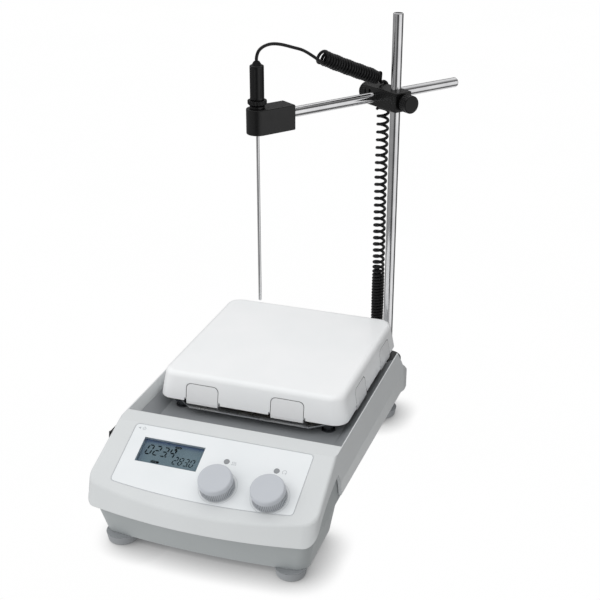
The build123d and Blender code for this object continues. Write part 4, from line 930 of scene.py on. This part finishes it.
def paint_frame():
    """Give every CAD node its own worked material."""
    arm_turn = math.atan2(ALONG.y, ALONG.x)
    up, window = UP_PANEL, middle("lcd_window")
    housing = finish("housing_paint", rgb(216, 219, 220), 0.42, grain=0.9, depth=0.018, tone=0.018,
                     edge=0.6, rub=rgb(236, 238, 239), rubbed=0.25, coat=0.12)
    casting = finish("casting_paint", rgb(174, 179, 180), 0.5, grain=0.7, depth=0.03, tone=0.03,
                     edge=0.7, rub=rgb(204, 208, 209), rubbed=0.2)
    # Deck under the plate: a mid grey, darker than the housing round it.
    deck = finish("deck_mid_grey", rgb(142, 145, 148), 0.46, grain=0.6, depth=0.02, tone=0.06, edge=0.5)
    # Clip enamel carries painted shade in the narrow gaps round the clips.
    white_clip = finish("clip_enamel", rgb(240, 241, 242), 0.3, grain=3.0, depth=0.006, tone=0.012,
                        edge=0.3, rub=rgb(200, 202, 204), rubbed=0.3, coat=0.3, painted_gap_shade=0.85)
    zinc = finish("zinc_plate", rgb(186, 188, 192), 0.34, metal=1.0, grain=0.25, depth=0.006,
                  tone=0.08, rub=rgb(220, 220, 222))
    dull_steel = finish("turned_steel", rgb(176, 177, 180), 0.3, metal=1.0, grain=(2.0, 2.0, 0.06),
                        depth=0.003, tone=0.08)
    bracket = finish("galvanised", rgb(168, 172, 176), 0.38, metal=1.0, grain=4.0, depth=0.01,
                     tone=0.14, patches=9.0)
    alloy = finish("machined_alloy", rgb(198, 199, 202), 0.32, metal=1.0, grain=(0.08, 6.0, 6.0),
                   depth=0.004, tone=0.06)
    sheath = finish("heater_sheath", rgb(92, 84, 78), 0.5, metal=0.9, grain=0.5, depth=0.02,
                    tone=0.22, patches=14.0)
    rubber = finish("foot_rubber", rgb(156, 159, 162), 0.8, grain=0.35, depth=0.03, tone=0.06,
                    rub=rgb(182, 184, 186), edge=0.6)
    black = finish("black_plastic", rgb(19, 19, 20), 0.36, grain=0.3, depth=0.012, tone=0.12, edge=0.4,
                   rub=rgb(46, 46, 48), rubbed=0.35, shine=0.3)
    anodised = finish("black_anodised", rgb(14, 14, 15), 0.36, grain=0.2, depth=0.006, tone=0.1,
                      edge=0.45, rub=rgb(78, 78, 80), rubbed=0.4, shine=0.45)
    grip = finish("grip_plastic", rgb(17, 17, 18), 0.3, grain=0.3, depth=0.008, tone=0.12,
                  edge=0.35, rub=rgb(52, 52, 54), rubbed=0.35, shine=0.35)
    # Knob plastic carries painted shade in the grooves between its ribs.
    knobs = finish("knob_plastic", rgb(193, 197, 203), 0.4, grain=0.35, depth=0.008, tone=0.02,
                   edge=0.12, rub=rgb(214, 217, 222), rubbed=0.3, painted_gap_shade=0.9)
    nylon = finish("nylon", rgb(222, 216, 200), 0.5, grain=0.4, depth=0.01, tone=0.05)
    lens = finish("lamp_lens", rgb(143, 146, 149), 0.26, grain=0.5, depth=0.004, tone=0.05,
                  edge=0.2, coat=0.4)
    ferrite = finish("ferrite", rgb(60, 60, 63), 0.55, metal=0.3, grain=0.3, depth=0.02, tone=0.12)
    motor_skin = finish("motor_can", rgb(120, 124, 128), 0.36, metal=1.0, grain=(0.4, 0.4, 5.0),
                        depth=0.005, tone=0.08)
    dark_steel = finish("dark_steel", rgb(96, 98, 102), 0.4, metal=0.9, grain=(2.0, 2.0, 0.08),
                        depth=0.004, tone=0.1)
    fuse_glass = finish("fuse_ends", rgb(196, 200, 202), 0.25, metal=0.6, grain=0.3, depth=0.004, tone=0.1)
    rows = {
        "base_casting": casting,
        "upper_housing": housing,
        "deck_plate": deck,
        "feet": rubber,
        "case_screws": zinc,
        "board_screws": zinc,
        "hot_plate": enamel(),
        "plate_clips": white_clip,
        "heater_element": sheath,
        "heat_shield": sheet_metal(),
        "plate_posts": dark_steel,
        "plate_sensor": dull_steel,
        "motor_bracket": bracket,
        "motor_housing": motor_skin,
        "motor_stator": wound("copper_windings", rgb(196, 116, 74), rgb(84, 40, 24), 0.55),
        "motor_bearings": dull_steel,
        "motor_shaft": dull_steel,
        "magnet_carrier": alloy,
        "drive_magnets": ferrite,
        "panel_overlay": printed_film(rgb(232, 236, 238), rgb(237, 240, 242)),
        "lcd_window": clear_pane(),
        "lcd_module": display_glass(ACROSS, up, window),
        "control_board": circuit_board("green_board", rgb(22, 84, 52)),
        "indicator_lenses": lens,
        "encoders": bracket,
        "temperature_knob": knobs,
        "speed_knob": knobs,
        "temperature_shaft": dull_steel,
        "speed_shaft": dull_steel,
        "temperature_plunger": nylon,
        "speed_plunger": nylon,
        "power_switch_housing": black,
        "power_rocker": grip,
        "power_board": circuit_board("amber_board", rgb(150, 104, 44)),
        "transformer": wound("laminations", rgb(120, 122, 126), rgb(52, 54, 58), 0.7, 0.8, 0),
        "heat_sink": alloy,
        "ribbon_cable": wound("ribbon_ways", rgb(172, 174, 178), rgb(110, 112, 118), 1.27, 0.0, 0),
        "mains_inlet": black,
        "fuse_drawer": black,
        "fuses": fuse_glass,
        "serial_port": zinc,
        "sensor_socket": zinc,
        "sensor_plug": grip,
        "rod_socket": dull_steel,
        "support_rod": steel_rod("upright_steel", (0.12, 0.12, 9.0)),
        "rod_collar": anodised,
        "clamp_block": anodised,
        "rod_clamp_screw": black,
        "arm_clamp_screw": black,
        "arm_rod": steel_rod("arm_steel", (9.0, 0.12, 0.12), arm_turn),
        "probe_holder": anodised,
        "probe_stem": steel_rod("probe_steel", (0.1, 0.1, 6.0)),
        "probe_nut": grip,
        "probe_handle": grip,
    }
    for name, material in rows.items():
        data = NODES[name].data
        data.materials.clear()
        data.materials.append(material)
    for name in ("probe_lead", "upper_coil", "cable_link", "hanging_coil", "cable_tail"):
        NODES[name].data.materials.clear()
        NODES[name].data.materials.append(SHEATH)


# --------------------------------------------------------------- studio

def build_floor():
    """Plain pale floor that glows white, with a painted soft contact shadow; it bounces no light of its
    own.
    """
    mesh = bmesh.new()
    bmesh.ops.create_grid(mesh, x_segments=1, y_segments=1, size=8)
    floor = new_piece("floor", mesh, floor_paint(), None)
    floor.location.z = cad_low[2] - 0.0002
    floor.visible_glossy = False
    floor.visible_diffuse = False


def floor_paint():
    """Glowing white floor with painted shade where the part stands close above it."""
    shade_reach = 34 * MM
    shade_lean = (-0.5, 0.3, 1.0)
    s = Shader("floor_paint")
    close = s.add("AmbientOcclusion", samples=24)
    close.inputs["Distance"].default_value = shade_reach
    tilt = s.vector("NORMALIZE", shade_lean)
    s.plug(close.inputs["Normal"], tilt)
    open_share = s.span(close.outputs["AO"], 0.04, 0.86)
    cloud = s.span(s.noise(300.0), 0.3, 0.7, 0.995, 1.0)
    # Painted shadow: the floor's glow goes to dark grey where the part stands close above it.
    shade = s.mix(open_share, rgb(62, 64, 66), (1.0, 1.0, 1.0))
    s.set(Base_Color=(0.9, 0.9, 0.9), Roughness=0.9)
    glow = s.add("Emission")
    s.plug(glow.inputs["Color"], shade)
    s.plug(glow.inputs["Strength"], cloud)
    s.tree.links.new(glow.outputs[0], s.end.inputs["Surface"])
    return s.material


class Sky(Shader):
    """The studio round the part: white to the eye, banded with panels in reflections."""

    def __init__(self):
        self.material = bpy.data.worlds.new("studio")
        self.material.use_nodes = True
        self.tree = self.material.node_tree
        self.tree.nodes.clear()
        self.point = self.add("TexCoord").outputs["Generated"]

    def ramp(self, value, stops):
        """Grey for a value, eased between stops."""
        node = self.add("ValToRGB")
        self.plug(node.inputs[0], value)
        points = node.color_ramp.elements
        while len(points) < len(stops):
            points.new(0.5)
        for point, (place, grey) in zip(points, stops):
            point.position = place
            point.color = (grey, grey, grey, 1)
        return node.outputs[0]


def build_studio():
    """World light: soft fill, and panels that the polished bars mirror as bands."""
    sky = Sky()
    toward = Vector((math.sin(CAMERA_AZIMUTH), -math.cos(CAMERA_AZIMUTH), 0))
    right = Vector((math.cos(CAMERA_AZIMUTH), math.sin(CAMERA_AZIMUTH), 0))
    ahead = sky.vector("DOT_PRODUCT", sky.point, tuple(toward))
    aside = sky.vector("DOT_PRODUCT", sky.point, tuple(right))
    height = sky.vector("DOT_PRODUCT", sky.point, (0, 0, 1))
    round_share = sky.span(sky.math("ARCTAN2", aside, ahead), -math.pi, math.pi)

    def at(degrees):
        """Share of the way round for an angle to the camera's right."""
        return degrees / 360 + 0.5

    ring = sky.ramp(round_share, [
        (at(-180), 0.08), (at(-130), 0.3), (at(-60), 0.36), (at(-30), 0.3), (at(-14), 0.06),
        (at(8), 0.07), (at(24), 0.85), (at(66), 1.0), (at(82), 0.8), (at(98), 0.08), (at(170), 0.12),
    ])
    above = sky.ramp(round_share, [
        (at(-180), 0.9), (at(-130), 0.85), (at(-90), 0.2), (at(90), 0.12), (at(125), 0.75), (at(180), 0.9),
    ])
    below = sky.ramp(round_share, [
        (at(-180), 0.75), (at(-40), 0.6), (at(20), 0.14), (at(110), 0.12), (at(130), 0.8), (at(180), 0.75),
    ])
    sheen = sky.mix(sky.span(height, 0.39, 0.44), ring, above)
    sheen = sky.mix(sky.span(height, 0.82, 0.87), sheen, (0.95, 0.95, 0.95))
    sheen = sky.mix(sky.span(height, -0.48, -0.54), sheen, below)
    share = sky.span(height, -1.0, 1.0)
    left = sky.ramp(share, [(0.0, 0.62), (0.5, 0.95), (1.0, 1.0)])
    dim = sky.ramp(share, [(0.0, 0.0), (0.5, 0.2), (0.8, 0.74), (1.0, 1.0)])
    fill = sky.mix(sky.span(aside, 0.0, 0.9), left, dim)
    path = sky.add("LightPath")
    light = sky.mix(path.outputs["Is Glossy Ray"], fill, sheen)
    light = sky.mix(path.outputs["Is Camera Ray"], light, (1, 1, 1))
    back = sky.add("Background")
    sky.plug(back.inputs["Color"], light)
    end = sky.add("OutputWorld")
    sky.tree.links.new(back.outputs[0], end.inputs["Surface"])
    bpy.context.scene.world = sky.material


def soft_light(name, place, aim, size, power):
    """Square soft light pointing at a place."""
    lamp = bpy.data.lights.new(name, "AREA")
    lamp.shape = "SQUARE"
    lamp.size = size
    lamp.energy = power
    holder = bpy.data.objects.new(name, lamp)
    bpy.context.scene.collection.objects.link(holder)
    holder.location = place
    holder.rotation_euler = (Vector(aim) - Vector(place)).to_track_quat("-Z", "Y").to_euler()
    holder.visible_glossy = False


def build_camera():
    """Camera at the viewing angle."""
    lens = bpy.data.cameras.new("camera")
    lens.lens = CAMERA_LENS
    lens.sensor_width = 36
    lens.clip_start = 0.01
    holder = bpy.data.objects.new("camera", lens)
    bpy.context.scene.collection.objects.link(holder)
    holder.location = CAMERA_PLACE
    holder.rotation_euler = (Vector(CAMERA_AIM) - Vector(CAMERA_PLACE)).to_track_quat("-Z", "Y").to_euler()
    bpy.context.scene.camera = holder


paint_frame()
build_cords()
build_display()
build_overlay_marks()
build_blanket()
build_floor()
build_studio()
soft_light("key_light", (-0.95, -1.25, 1.55), (0, -0.03, -0.05), 1.1, 5)
build_camera()
bpy.context.scene.view_settings.view_transform = "Standard"
bpy.context.scene.view_settings.look = "None"
